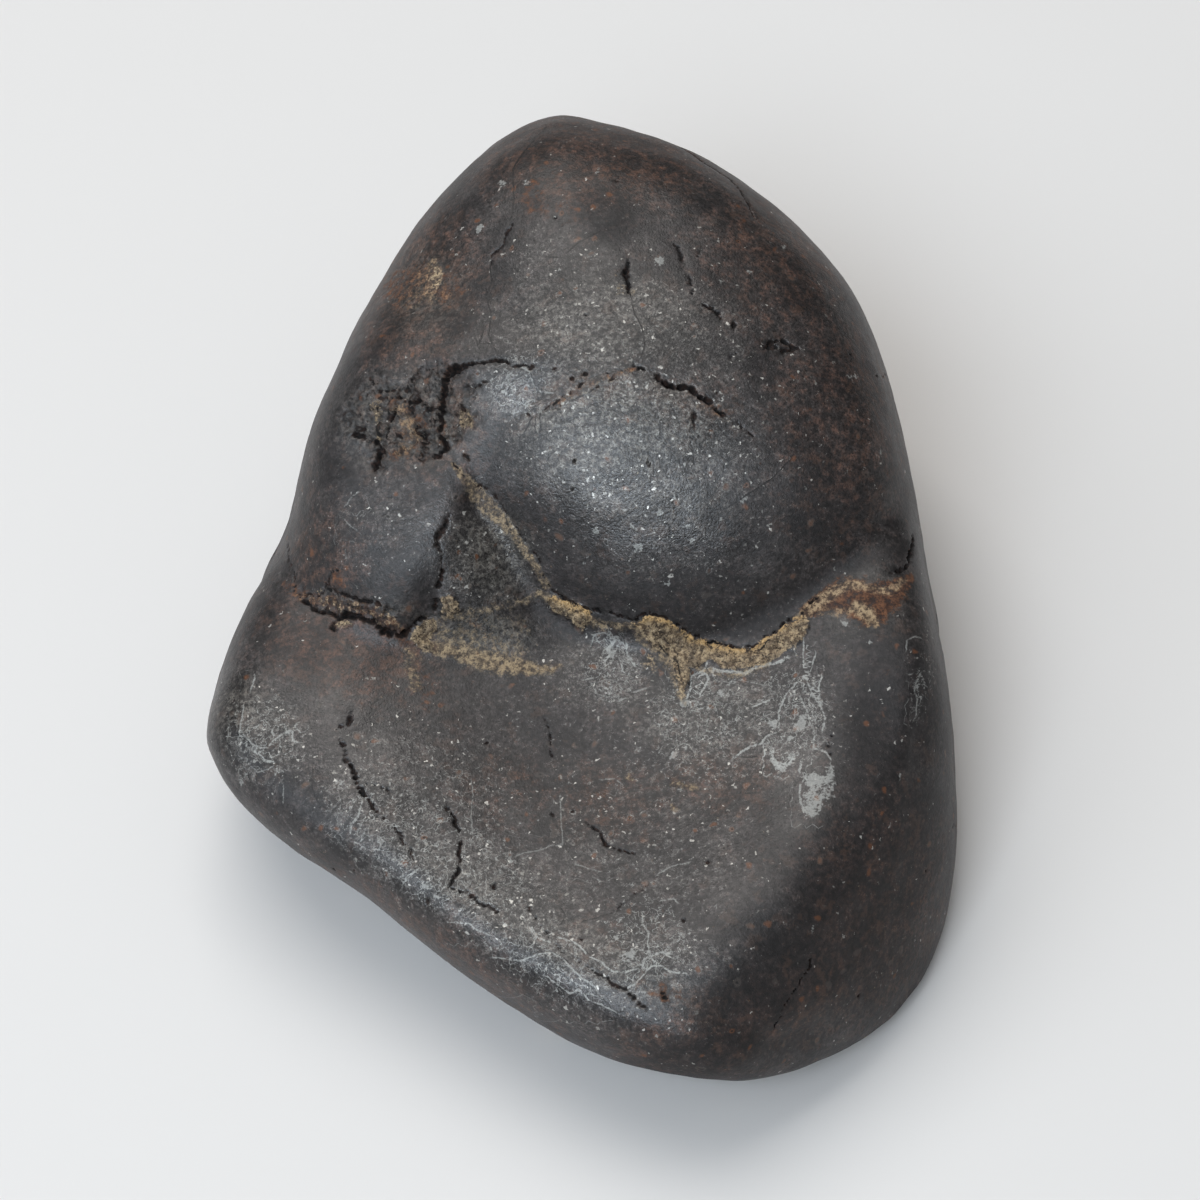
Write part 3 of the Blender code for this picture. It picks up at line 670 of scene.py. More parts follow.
def size_at(q):
    """Edge length: fine along the cracks, pits and crusts, coarser elsewhere."""
    near = np.full(len(q), 9.0)
    for w, d, line in LINES:
        i, x, _, _ = line_distance(q, line, 2.5)
        near[i] = np.minimum(near[i], np.maximum(x - w - 0.15, 0))
    for c, r, d in PIT_POINTS:
        if len(c):
            near = np.minimum(near, np.maximum(np.linalg.norm(q - c[0], axis=1) - r - 0.1, 0))
    px, py = to_picture(q)
    front = ((q - np.array(MID)) @ BACK) > 2.0
    rough = np.zeros(len(q), bool)
    for c in LIME + LIME_THIN[3:5] + [BROKEN]:
        rough |= patch_depth(px, py, c) > -3
    pale = np.abs(drawn(px, py, PALE_LINES)[0]) < 0.35
    size = 0.12 + 0.34 * near
    size = np.where(front & rough, np.minimum(size, 0.17), size)
    size = np.where(front & pale, np.minimum(size, 0.34), size)
    coarse = np.where(q[:, 2] < 0.05, 1.4, np.where(front, 0.50, 0.62))
    return np.clip(size, 0.12, coarse) * 1.5


START = sphere(6)
P = relax(draw_out(START[0], steps=40), START[2], 5)
F = START[1]
for _ in range(8):
    P, F, made = split(P, F, size_at)
    if made < 300:
        break
print("fine mesh", len(P), "points", len(F), "triangles")
N = normals(P)
px, py = to_picture(P)
FRONT = step(N @ BACK, 0.03, 0.20)


# ================================================================ the worn surface, as heights along the normal
def warped(q):
    """The stone's points, shifted a little, so that lines drawn on it wander as cracks do."""
    a = np.stack([noise(q * 1.1 + 3.0 + 40 * k) for k in range(3)], 1) * 0.19
    b = np.stack([noise(q * 3.0 + 9.0 + 40 * k) for k in range(3)], 1) * 0.13
    c = np.stack([noise(q * 6.5 + 5.0 + 40 * k) for k in range(3)], 1) * 0.04
    return q + a + b + c


def largest(*parts):
    out = np.zeros(len(P))
    for x in parts:
        out = np.maximum(out, x)
    return out


W = warped(P)
height = 0.11 * noise(P / 5.5 + 5) + 0.055 * noise(P / 2.2 + 1.5) + 0.006 * noise(P / 1.1 + 8)
height *= step(P[:, 2], 0.02, 1.5)

painted_crack_shade = np.zeros(len(P))
for k, (w, d, line) in enumerate(LINES):
    if len(line) < 2:
        continue
    i, x, s, length = line_distance(W, line, 2.0)
    if not len(i):
        continue
    end = np.clip(np.minimum(s, length - s) / min(0.8, 0.3 * length) + 0.3, 0, 1)
    grit = noise(P[i] * 1.3 + 60 + k) * 0.55 + noise(P[i] * 3.7 + 90 + k) * 0.45
    wide = 0.92 * w * np.clip(1.0 + 1.25 * grit, 0.30, 2.1) * (0.35 + 0.65 * end)
    deep = d * np.sqrt(end) * np.clip(1.0 + 0.5 * grit, 0.4, 1.4)
    t = np.clip(1 - x / wide, 0, 1)
    groove = deep * t ** 0.7
    lip = 0.08 * min(d, 0.6) * np.exp(-(x / (2.4 * w)) ** 2)
    height[i] -= groove + lip
    # the groove is painted dark too, as shade, darker the deeper it is
    painted_crack_shade[i] = np.maximum(painted_crack_shade[i], np.clip(groove / 0.22, 0, 1))

# pits are painted dark as shade
for c, r, d in PIT_POINTS:
    if len(c):
        x = np.linalg.norm(W - c[0], axis=1)
        t = np.clip(1 - (x / r) ** 2, 0, 1)
        height -= d * t
        painted_crack_shade = np.maximum(painted_crack_shade, step(t, 0.0, 0.7) * min(1.0, d / 0.25))

# the crusts that fill the creases
RAG = 0.6 * noise(W / 1.3 + 2) + 0.5 * noise(W / 0.5 + 7)


def bands(table):
    """The strongest of some soft bands, 0 at their edges."""
    out = np.zeros(len(P))
    for strength, points in table:
        out = np.maximum(out, strength * step(band(px, py, points), 0.0, 0.75))
    return out * FRONT


def beyond(points):
    """How far past a picture line, in mm, to the right of its direction of travel, and 0 to 1 away from its ends."""
    t = np.array(points, float)
    best, away = np.full(len(px), 1e9), np.zeros(len(px))
    seg = np.linalg.norm(np.diff(t, axis=0), axis=1)
    start = np.concatenate([[0], np.cumsum(seg)])
    for i in range(len(t) - 1):
        a, d = t[i], t[i + 1] - t[i]
        s = np.clip(((px - a[0]) * d[0] + (py - a[1]) * d[1]) / (d @ d), 0, 1)
        r = np.hypot(px - a[0] - s * d[0], py - a[1] - s * d[1])
        k = r < np.abs(best)
        side_ = np.where((px - a[0]) * d[1] - (py - a[1]) * d[0] >= 0, 1.0, -1.0)
        best[k] = (r * side_)[k]
        away[k] = (start[i] + s * seg[i])[k]
    return best * 0.075, step(away, 5, 120) * step(start[-1] - away, 0, 60)


def cover_of(patches, rag, soft):
    out = np.zeros(len(P))
    for c in patches:
        depth = patch_depth(px, py, c)
        out = np.maximum(out, step(depth + rag * RAG, -soft, soft) * (depth > -8))
    return out * FRONT


lime = cover_of(LIME, 6.0, 3.2)
thin = np.maximum(cover_of(LIME_THIN[:4] + LIME_THIN[5:], 8.0, 4.5), 0.45 * cover_of([LIME_THIN[4]], 8.0, 4.5))
rust = bands(RUST)
stain = bands(STAINS)
broken = cover_of([BROKEN], 14.0, 6.0)
seam = cover_of([LIME_THIN[4]], 5.0, 3.0)

past, fade = beyond(RIDGE)
# painted shade in a band just past the ridge
shade_band = step(past, -2.8, 2.2) * (1 - 0.65 * step(past, 3.4, 7.5)) * step(past, 12.5, 7.0) * fade
past = 0.5 * (past + np.sqrt(past ** 2 + 2.2))
height -= 1.95 * (1 - np.exp(-past / 3.4)) * fade * step(N @ BACK, 0.0, 0.65)

near = np.nonzero((lime > 0.01) | (thin > 0.01) | (rust > 0.1))[0]
d1, gap, own = chips(W[near] * (1, 1, 1.3), 0.62)
lump = (0.16 * np.sqrt(np.clip(1 - d1 ** 2, 0, 1)) + 0.14 * (own - 0.5) + 0.10 * fbm(P[near] / 0.5 + 31, 2)) * step(gap, 0.0, 0.22)
lump += 0.12 * noise(P[near] / 1.1 + 55)
height[near] += lime[near] * (1.15 * lump - 0.02) + (thin[near] * 0.40 + rust[near] * 0.25) * (lump - 0.06)
near = np.nonzero((broken > 0.01) | (seam > 0.01))[0]
d1, gap, own = chips(W[near] + 7.0, 1.15)
d1b, gapb, ownb = chips(W[near] + 3.0, 0.50, 5)
shard = (own - 0.58) * 0.55 - 0.26 * step(gap, 0.10, 0.01) * (own > 0.35)
shard += (ownb - 0.6) * 0.20 - 0.10 * step(gapb, 0.16, 0.0) + 0.14 * fbm(P[near] / 0.6 + 80, 2)
height[near] += np.maximum(broken[near], 0.55 * seam[near]) * (shard - 0.05)
# gaps between the broken lumps are painted dark as shade
painted_crack_shade[near] = np.maximum(painted_crack_shade[near], broken[near] * step(gap, 0.045, 0.005) * (own > 0.55) * 0.6)
painted_crack_shade[near] = np.maximum(painted_crack_shade[near], np.maximum(broken[near], seam[near]) * step(ownb, 0.11, 0.04) * 0.6)
Q = P + N * height[:, None]

# ================================================================ where the tones and markings lie
far_noise = fbm(P / 9.0 + 70, 3, 0.55)
side = 1 - FRONT


def zone(spots, base=0.0):
    """Soft round zones: pixel, pixel, radius, radius, turn, strength."""
    out = np.full(len(P), base)
    for x, y, rx, ry, turn, s in spots:
        out = np.maximum(out, base + (s - base) * step(blob(px, py, x, y, rx, ry, turn), 0.0, 0.7))
    return out


# fleck density: real metal grain, set densest where the dome and the shelf catch the light, so it is partly painted
# highlight
fleck_density_and_painted_highlight = zone([
    (620, 340, 190, 110, 0, 0.90), (630, 450, 190, 110, 10, 1.0), (650, 530, 150, 70, 15, 0.75), (510, 390, 60, 60, 0, 0.9),
    (560, 270, 110, 60, 0, 0.60), (400, 830, 150, 80, 38, 1.0), (480, 890, 190, 80, 25, 1.0), (640, 960, 130, 70, 0, 0.9),
    (270, 740, 80, 70, 20, 0.60), (740, 720, 150, 110, 0, 0.82), (640, 830, 170, 110, 0, 0.58), (700, 620, 120, 50, 0, 0.35),
    (760, 470, 110, 150, 0, 0.35), (380, 540, 100, 60, 0, 0.50), (480, 560, 80, 70, 0, 0.9), (600, 670, 90, 60, 0, 0.9),
    (560, 950, 200, 60, 25, 0.85), (430, 770, 160, 70, 20, 0.6), (620, 1010, 160, 50, 15, 0.5),
], 0.09) * FRONT + (0.30 + 0.35 * far_noise) * side
vein = zone([
    (612, 667, 40, 60, 0, 0.9), (790, 715, 60, 75, 0, 0.8), (645, 945, 70, 75, 0, 0.8), (262, 740, 60, 70, 0, 0.8),
    (430, 850, 170, 80, 28, 0.85), (927, 690, 18, 60, 0, 0.6), (700, 715, 80, 60, 0, 0.8), (550, 960, 120, 60, 25, 0.7),
    (690, 760, 120, 50, 0, 0.5), (630, 430, 190, 120, 0, 0.45), (520, 385, 50, 50, 0, 0.9), (610, 340, 120, 60, 0, 0.4),
    (600, 760, 260, 130, 15, 0.30), (440, 800, 170, 100, 30, 0.45), (640, 870, 190, 90, 10, 0.35), (590, 380, 200, 120, 0, 0.35),
    (400, 520, 110, 90, 0, 0.25),
], 0.08) * FRONT + np.clip(0.10 + 0.6 * far_noise, 0, 0.7) * side * step(P[:, 2], 26, 4)
white = zone([
    (801, 722, 7, 14, 18, 0.95), (790, 738, 10, 6, -25, 0.9), (773, 723, 8, 8, 0, 0.9), (780, 767, 12, 7, 10, 0.75),
    (814, 779, 17, 15, 0, 0.72), (813, 800, 20, 24, 0, 0.62), (829, 782, 12, 36, 5, 0.55), (810, 808, 16, 10, 0, 0.7),
    (611, 654, 9, 10, 10, 0.7), (608, 690, 15, 8, 0, 0.45), (630, 955, 11, 12, 0, 0.78), (614, 937, 8, 6, 0, 0.7),
    (640, 905, 14, 14, 0, 0.3), (673, 755, 10, 6, -25, 0.85), (684, 703, 9, 8, 0, 0.80), (730, 682, 5, 5, 0, 0.9),
    (721, 693, 7, 7, 0, 0.7), (737, 660, 6, 5, 0, 0.4), (659, 260, 7, 8, 0, 1.0), (479, 228, 4.5, 11, 22, 0.9), (502, 183, 6, 5, -30, 0.8),
    (527, 183, 5, 5, 0, 0.8), (599, 170, 5, 5, 0, 0.7), (557, 270, 5, 5, 0, 0.8), (578, 292, 6, 4, 0, 0.8), (853, 376, 5, 6, 0, 0.85),
    (819, 444, 7, 7, 0, 0.55), (880, 454, 5, 9, 0, 0.65), (783, 248, 6, 4, 30, 0.8), (750, 273, 5, 5, 0, 0.7), (722, 281, 9, 8, 0, 0.5),
    (822, 932, 5, 5, 0, 0.8), (894, 882, 5, 4, 0, 0.8), (914, 775, 5, 5, 0, 0.7), (912, 822, 5, 5, 0, 0.7), (241, 783, 5, 5, 0, 0.9),
    (744, 497, 5, 7, 0, 0.7), (633, 553, 6, 5, 0, 0.8), (667, 584, 6, 5, 0, 0.85), (662, 555, 4, 5, 0, 0.7), (719, 404, 7, 6, 0, 0.4),
    (868, 640, 5, 4, -20, 0.9), (844, 624, 9, 4, 35, 0.8), (886, 648, 4, 4, 0, 0.7), (278, 772, 11, 15, -20, 0.45),
    (504, 393, 9, 11, 20, 0.5), (526, 401, 10, 8, 0, 0.5), (340, 783, 9, 7, 0, 0.6), (427, 886, 12, 8, 20, 0.6),
    (660, 514, 5, 7, -20, 0.9), (596, 530, 5, 6, -25, 0.85), (629, 528, 6, 5, 0, 0.8), (638, 546, 7, 5, 0, 0.85), (687, 525, 6, 6, 0, 0.8),
    (584, 560, 5, 6, 0, 0.8), (673, 501, 5, 5, 0, 0.75), (722, 521, 5, 5, 0, 0.7), (690, 539, 5, 5, 0, 0.75),
    (440, 898, 14, 6, 20, 0.55), (521, 886, 5, 7, 0, 0.7), (785, 806, 5, 6, 0, 0.6), (573, 812, 6, 6, 0, 0.6), (649, 890, 8, 6, 0, 0.5),
]) * FRONT + step(far_noise + 0.4 * noise(P / 1.3), 0.80, 1.15) * side * 0.7
brown = zone([
    (600, 160, 200, 80, 0, 0.8), (420, 290, 90, 130, 20, 0.8), (780, 250, 130, 120, 45, 0.70), (840, 420, 110, 190, 0, 0.62),
    (350, 650, 140, 70, 15, 0.9), (880, 900, 110, 190, 0, 0.8), (760, 1020, 220, 70, -15, 0.9), (420, 940, 240, 40, 33, 0.8),
    (430, 430, 90, 80, 0, 0.75), (580, 390, 90, 26, -12, 0.8), (330, 560, 60, 80, 0, 0.7), (680, 400, 80, 50, 0, 0.6),
    (610, 800, 90, 60, 0, 0.7), (500, 790, 90, 60, 0, 0.6), (725, 780, 90, 50, 0, 0.7), (590, 940, 60, 40, 0, 0.6),
], 0.18) * FRONT + np.clip(0.65 + 0.6 * far_noise, 0, 1) * side
gloss = zone([
    (515, 397, 40, 34, 0, 1.0), (620, 520, 210, 90, 0, 0.85), (230, 720, 50, 90, 0, 0.9), (480, 940, 240, 60, 28, 0.9),
    (400, 540, 120, 70, 0, 0.6), (490, 540, 70, 60, 0, 0.7), (810, 780, 60, 80, 0, 0.7), (620, 420, 150, 90, 0, 0.5),
    (880, 600, 80, 120, 0, 0.5), (330, 740, 120, 90, 30, 0.6),
], 0.12) * FRONT + np.clip(0.3 + 0.5 * noise(P / 7 + 11), 0, 0.8) * side
# darker zones: painted shade on the right-hand facet, along the foot, under the dome and in the wedge, plus a few real
# dark smudges; random darker tone on the far sides
dark_smudge_and_painted_shade = zone([
    (453, 322, 30, 20, 15, 0.65), (472, 286, 40, 14, -50, 0.5), (700, 600, 170, 60, 5, 0.75), (745, 505, 60, 50, 0, 0.5),
    (530, 725, 150, 75, 10, 0.40), (600, 800, 150, 90, 10, 0.25), (410, 575, 50, 60, 0, 0.45), (880, 720, 60, 200, 3, 1.0), (850, 850, 60, 160, 18, 1.0), (770, 990, 120, 80, -35, 1.0), (700, 1060, 120, 40, -10, 1.0),
    (910, 870, 60, 160, 10, 0.7), (606, 215, 50, 36, 30, 0.7), (860, 960, 120, 90, -30, 0.8),
    (790, 520, 60, 90, 40, 0.5), (640, 590, 120, 30, 12, 0.4), (560, 555, 40, 60, -30, 0.6), (300, 640, 60, 60, 0, 0.3),
], 0.0) * FRONT + np.clip(0.2 + 0.5 * noise(P / 8 + 23), 0, 0.7) * side
# painted shade past the shelf's ridge and in the crease under the dome
dark_smudge_and_painted_shade = np.maximum(dark_smudge_and_painted_shade, 1.0 * shade_band * FRONT)
dark_smudge_and_painted_shade = np.maximum(dark_smudge_and_painted_shade, bands([(0.95, [(560, 584, 10), (600, 600, 14), (650, 602, 14), (690, 622, 16), (735, 632, 16), (768, 622, 16), (800, 594, 16),
                                       (830, 572, 15), (868, 558, 18), (906, 548, 14)]), (0.6, [(540, 612, 10), (566, 630, 12), (600, 638, 8)])]))
foot_crust = step(noise(P / 6.0 + 41) + 0.5 * noise(P / 1.7 + 12), 0.25, 0.75) * side * step(P[:, 2], 9, 1)
cover = largest(lime, 0.70 * thin, 0.7 * foot_crust)
# lighter zones: painted light that lifts the shaded lens, wedge and broken corner, and painted highlight on the dome
# and the left lobe's rim
pale_patches_and_painted_light = zone([(485, 634, 75, 34, 8, 1.0), (400, 610, 40, 14, 20, 0.4), (520, 385, 50, 40, 0, 0.25), (262, 740, 50, 60, 0, 0.5),
             (492, 556, 58, 66, 0, 1.0), (410, 420, 95, 65, 0, 0.9), (425, 290, 60, 60, 0, 0.5), (870, 600, 60, 40, -20, 0.5),
             (700, 715, 110, 60, 0, 0.4), (600, 960, 150, 40, 25, 0.6), (470, 890, 110, 30, 32, 0.6), (610, 425, 140, 80, 5, 1.0),
             (600, 320, 120, 65, 0, 0.65), (650, 500, 120, 40, 12, 0.6), (238, 715, 40, 60, 10, 0.8)]) * FRONT
pale_d, pale_s, pale_w = drawn(px, py, PALE_LINES)
hair_d, hair_s, _ = drawn(px, py, [(1.0, 0.05, h) for h in HAIRS])

# ================================================================ into Blender
lo, hi = P.min(axis=0), P.max(axis=0)
SHIFT = np.array([(lo[0] + hi[0]) / 2, (lo[1] + hi[1]) / 2, 0.0])
Q[:, 2] = np.maximum(Q[:, 2], 0.0)

mesh = bpy.data.meshes.new("stone_skin")
mesh.from_pydata(((Q - SHIFT) * MM).tolist(), [], F.tolist())
mesh.validate()
mesh.update()
mesh.shade_smooth()
stone = bpy.data.objects.new("stone_skin", mesh)
bpy.context.scene.collection.objects.link(stone)


def paint(name, r, g, b):
    layer = mesh.attributes.new(name, 'FLOAT_COLOR', 'POINT')
    c = np.ones((len(P), 4), np.float32)
    c[:, 0], c[:, 1], c[:, 2] = np.clip(r, 0, 1), np.clip(g, 0, 1), np.clip(b, 0, 1)
    layer.data.foreach_set("color", c.ravel())


paint("cover", painted_crack_shade, cover, rust)
paint("marks", vein, white, fleck_density_and_painted_highlight)
paint("tones", brown, gloss, dark_smudge_and_painted_shade)
paint("lines", 0.5 + np.clip(pale_d, -0.5, 0.5), pale_s * FRONT, pale_w * 4)
paint("hairs", 0.5 + np.clip(hair_d, -0.5, 0.5), hair_s * FRONT, broken)
rim = np.zeros(len(P))
i, x, _, _ = line_distance(P, LINES[0][2], 2.0)
rim[i] = np.exp(-(np.maximum(x - 0.15, 0) / 0.42) ** 2)
paint("stain", stain, pale_patches_and_painted_light, rim)

# ================================================================ the stone's material
mat = bpy.data.materials.new("worn_stone")
mat.use_nodes = True
tree = mat.node_tree
tree.nodes.clear()


def node(kind, **settings):
    n = tree.nodes.new(kind)
    for k, v in settings.items():
        setattr(n, k, v)
    return n


def put(socket, value):
    if isinstance(value, bpy.types.NodeSocket):
        tree.links.new(value, socket)
    else:
        socket.default_value = value


def calc(op, a, b=0.0, c=0.0, clamp=False):
    n = node("ShaderNodeMath", operation=op, use_clamp=clamp)
    put(n.inputs[0], a)
    put(n.inputs[1], b)
    put(n.inputs[2], c)
    return n.outputs[0]


def ramp(x, a, b, lo=0.0, hi=1.0):
    n = node("ShaderNodeMapRange", interpolation_type='SMOOTHSTEP')
    for k, v in (("Value", x), ("From Min", a), ("From Max", b), ("To Min", lo), ("To Max", hi)):
        put(n.inputs[k], v)
    return n.outputs[0]


def blend(fac, a, b, kind='MIX'):
    n = node("ShaderNodeMix", data_type='RGBA', blend_type=kind, clamp_factor=True)
    put(n.inputs[0], fac)
    for s, v in ((n.inputs[6], a), (n.inputs[7], b)):
        put(s, v if isinstance(v, bpy.types.NodeSocket) else (*v, 1.0))
    return n.outputs[2]


coord = node("ShaderNodeTexCoord")


def place(offset):
    """Position in millimetres, moved by an offset so that no two patterns line up."""
    m = node("ShaderNodeMapping")
    tree.links.new(coord.outputs["Object"], m.inputs["Vector"])
    m.inputs["Scale"].default_value = (1000, 1000, 1000)
    m.inputs["Location"].default_value = (offset * 13.7, offset * 7.1, offset * 9.3)
    return m.outputs[0]


POS = place(0.0)


def grain(scale, detail=2.0, rough=0.5, offset=0.0, vector=None):
    n = node("ShaderNodeTexNoise", noise_dimensions='3D')
    put(n.inputs["Vector"], vector or place(offset))
    put(n.inputs["Scale"], scale)
    put(n.inputs["Detail"], detail)
    put(n.inputs["Roughness"], rough)
    return n.outputs[0], n.outputs[1]


def shifted(amount, scale, offset=0.0):
    """Position, pushed about by noise."""
    n = node("ShaderNodeVectorMath", operation='MULTIPLY_ADD')
    tree.links.new(grain(scale, 1.0, 0.5, offset)[1], n.inputs[0])
    n.inputs[1].default_value = (amount, amount, amount)
    tree.links.new(POS, n.inputs[2])
    return n.outputs[0]


def cells(scale, vector):
    n = node("ShaderNodeTexVoronoi", feature='F1')
    put(n.inputs["Vector"], vector)
    put(n.inputs["Scale"], scale)
    s = node("ShaderNodeSeparateColor")
    tree.links.new(n.outputs["Color"], s.inputs[0])
    return n.outputs["Distance"], s.outputs[0], s.outputs[1], s.outputs[2]


def channels(name):
    a = node("ShaderNodeAttribute", attribute_name=name)
    s = node("ShaderNodeSeparateColor")
    tree.links.new(a.outputs["Color"], s.inputs[0])
    return s.outputs[0], s.outputs[1], s.outputs[2]


PAINTED_CRACK_SHADE, LIMEC, RUSTC = channels("cover")
VEIN, WHITE, FLECK_DENSITY_AND_PAINTED_HIGHLIGHT = channels("marks")
BROWN, GLOSS, SMUDGE_AND_PAINTED_SHADE = channels("tones")
PALE_D, PALE_S, PALE_W = channels("lines")
HAIR_D, HAIR_S, BROKE = channels("hairs")
STAIN, PALE_PATCHES_AND_PAINTED_LIGHT, RIM = channels("stain")

crumb = grain(2.0, 3.0, 0.7, 14.0)[0]
crumb_fine = grain(5.2, 3.0, 0.72, 15.0)[0]
mottle = grain(0.32, 3.0, 0.6, 1.0)[0]
mottle2 = grain(1.25, 3.0, 0.65, 2.0)[0]
medium = grain(2.6, 3.0, 0.65, 4.0)[0]
salt = grain(5.6, 2.0, 0.65, 3.0)[0]

# base: dark grey-brown, mottled, with fine dark and light grains
grey = blend(ramp(mottle, 0.35, 0.65), (0.032, 0.028, 0.029), (0.050, 0.044, 0.043))
warm = blend(ramp(mottle2, 0.35, 0.70), (0.032, 0.019, 0.016), (0.084, 0.046, 0.033))
brown_amount = ramp(calc('MULTIPLY_ADD', BROWN, 0.75, calc('MULTIPLY', calc('SUBTRACT', mottle2, 0.5), 1.1)), 0.15, 0.85)
base = blend(brown_amount, grey, warm)
# painted shade and dark smudges, from the darker zones
base = blend(calc('MULTIPLY', SMUDGE_AND_PAINTED_SHADE, 0.79), base, blend(mottle2, (0.011, 0.009, 0.010), (0.026, 0.020, 0.019)))
# painted light and highlight, from the lighter zones
base = blend(calc('MULTIPLY', PALE_PATCHES_AND_PAINTED_LIGHT, ramp(medium, 0.40, 0.62, 0.15, 0.75)), base, (0.115, 0.108, 0.094))
curl = calc('MULTIPLY', ramp(calc('ABSOLUTE', calc('SUBTRACT', crumb, 0.5)), 0.024, 0.007), ramp(mottle2, 0.44, 0.54))
base = blend(calc('MULTIPLY', curl, 0.55), base, (0.010, 0.008, 0.008))
curl2 = calc('MULTIPLY', ramp(calc('ABSOLUTE', calc('SUBTRACT', crumb_fine, 0.53)), 0.024, 0.008), ramp(calc('MULTIPLY_ADD', FLECK_DENSITY_AND_PAINTED_HIGHLIGHT, 0.5, crumb), 0.70, 0.90))
base = blend(calc('MULTIPLY', curl2, 0.60), base, (0.225, 0.215, 0.200))
base = blend(ramp(salt, 0.47, 0.34, 0.0, 0.80), base, (0.012, 0.009, 0.009))
tone = calc('MULTIPLY', ramp(medium, 0.32, 0.68, 0.55, 1.55), ramp(mottle2, 0.34, 0.66, 0.74, 1.30))
tone = calc('MULTIPLY', tone, ramp(mottle, 0.36, 0.64, 0.80, 1.22))
base = blend(1.0, base, tone, 'MULTIPLY')
smudge = ramp(calc('MULTIPLY_ADD', calc('SUBTRACT', medium, 0.5), 0.35, grain(0.70, 3.0, 0.62, 21.0)[0]), 0.55, 0.68)
base = blend(calc('MULTIPLY', smudge, calc('MULTIPLY_ADD', BROWN, 0.22, 0.13)), base, (0.135, 0.072, 0.046))
density = calc('MULTIPLY_ADD', FLECK_DENSITY_AND_PAINTED_HIGHLIGHT, 0.85, calc('MULTIPLY', calc('SUBTRACT', calc('ADD', mottle, medium), 1.0), 0.95))
light_edge = calc('MULTIPLY_ADD', density, -0.150, 0.668)
lights = ramp(calc('SUBTRACT', salt, light_edge), 0.0, 0.085)
base = blend(calc('MULTIPLY', lights, 0.72), base, blend(ramp(medium, 0.35, 0.68), (0.075, 0.069, 0.064), (0.29, 0.28, 0.265)))

# sparse marks in their own cells: rust spots, round grains, dark pits
far_d, far_r, far_g, far_b = cells(0.80, shifted(0.75, 1.1, 5.0))
spot = calc('MULTIPLY', ramp(far_d, 0.26, 0.08, 0.0, 1.0), calc('GREATER_THAN', far_r, 0.82))
base = blend(calc('MULTIPLY', spot, 0.70), base, (0.175, 0.070, 0.028))
round_ = calc('MULTIPLY', ramp(far_d, 0.30, 0.20, 0.0, 1.0), calc('GREATER_THAN', far_g, 0.86))
base = blend(calc('MULTIPLY', round_, 0.35), base, (0.12, 0.100, 0.088))
pinhole = calc('MULTIPLY', ramp(far_d, 0.13, 0.05, 0.0, 1.0), calc('GREATER_THAN', far_b, 0.76))
base = blend(calc('MULTIPLY', pinhole, 0.9), base, (0.006, 0.004, 0.004))
ring = calc('MULTIPLY', ramp(calc('ABSOLUTE', calc('SUBTRACT', far_d, calc('MULTIPLY_ADD', far_g, 0.16, 0.12))), 0.050, 0.018), calc('GREATER_THAN', far_r, 0.60))
ring = calc('MULTIPLY', calc('MULTIPLY', ring, ramp(salt, 0.44, 0.56)), ramp(FLECK_DENSITY_AND_PAINTED_HIGHLIGHT, 0.25, 0.75))
base = blend(calc('MULTIPLY', ring, 0.65), base, (0.24, 0.235, 0.225))

# bright flecks
near_d, near_r, near_g, near_b = cells(2.2, shifted(0.55, 3.0, 6.0))
on = calc('GREATER_THAN', calc('MULTIPLY', density, 0.74), near_r)
size = calc('MULTIPLY_ADD', near_g, 0.20, 0.16)
flecks = calc('MULTIPLY', on, ramp(calc('DIVIDE', near_d, size), 1.0, 0.55))
col = blend(calc('MULTIPLY', flecks, 0.92), base, blend(near_b, (0.17, 0.165, 0.155), (0.58, 0.565, 0.53)))

# pale squiggles, traced hairlines and patches
thread = calc('ABSOLUTE', calc('SUBTRACT', grain(0.95, 2.0, 0.55, 9.0)[0], 0.5))
squiggle = calc('MULTIPLY', ramp(thread, 0.013, 0.004), ramp(calc('MULTIPLY_ADD', VEIN, 0.55, medium), 0.70, 0.88))
squiggle2 = calc('MULTIPLY', ramp(calc('ABSOLUTE', calc('SUBTRACT', medium, 0.51)), 0.026, 0.008),
                 ramp(calc('MULTIPLY_ADD', VEIN, 0.60, mottle2), 0.66, 0.92))
squiggle2 = calc('MULTIPLY', squiggle2, ramp(crumb, 0.485, 0.555))
wobble = calc('MULTIPLY', calc('SUBTRACT', medium, 0.5), 0.22)
pale_at = calc('ABSOLUTE', calc('ADD', calc('SUBTRACT', PALE_D, 0.5), wobble))
pale_half = calc('MULTIPLY', calc('MULTIPLY', PALE_W, 0.25), calc('MULTIPLY_ADD', crumb_fine, 2.4, -0.50))
traced = calc('MULTIPLY', ramp(calc('SUBTRACT', pale_at, pale_half), 0.042, 0.0), PALE_S)
traced = calc('MULTIPLY', traced, ramp(calc('MULTIPLY_ADD', salt, 0.5, calc('MULTIPLY', crumb, 0.5)), 0.38, 0.52, 0.15, 1.0))
patch = ramp(calc('ADD', WHITE, calc('MULTIPLY', calc('SUBTRACT', calc('MULTIPLY_ADD', medium, 0.6, calc('MULTIPLY', salt, 0.4)), 0.5), 2.0)), 0.38, 0.62)
pale = calc('MAXIMUM', calc('MULTIPLY', calc('MAXIMUM', squiggle, squiggle2), 0.76), calc('MULTIPLY', patch, 0.66))
pale = calc('MAXIMUM', pale, calc('MULTIPLY', traced, 0.92))
col = blend(pale, col, blend(salt, (0.19, 0.195, 0.185), (0.48, 0.485, 0.465)))

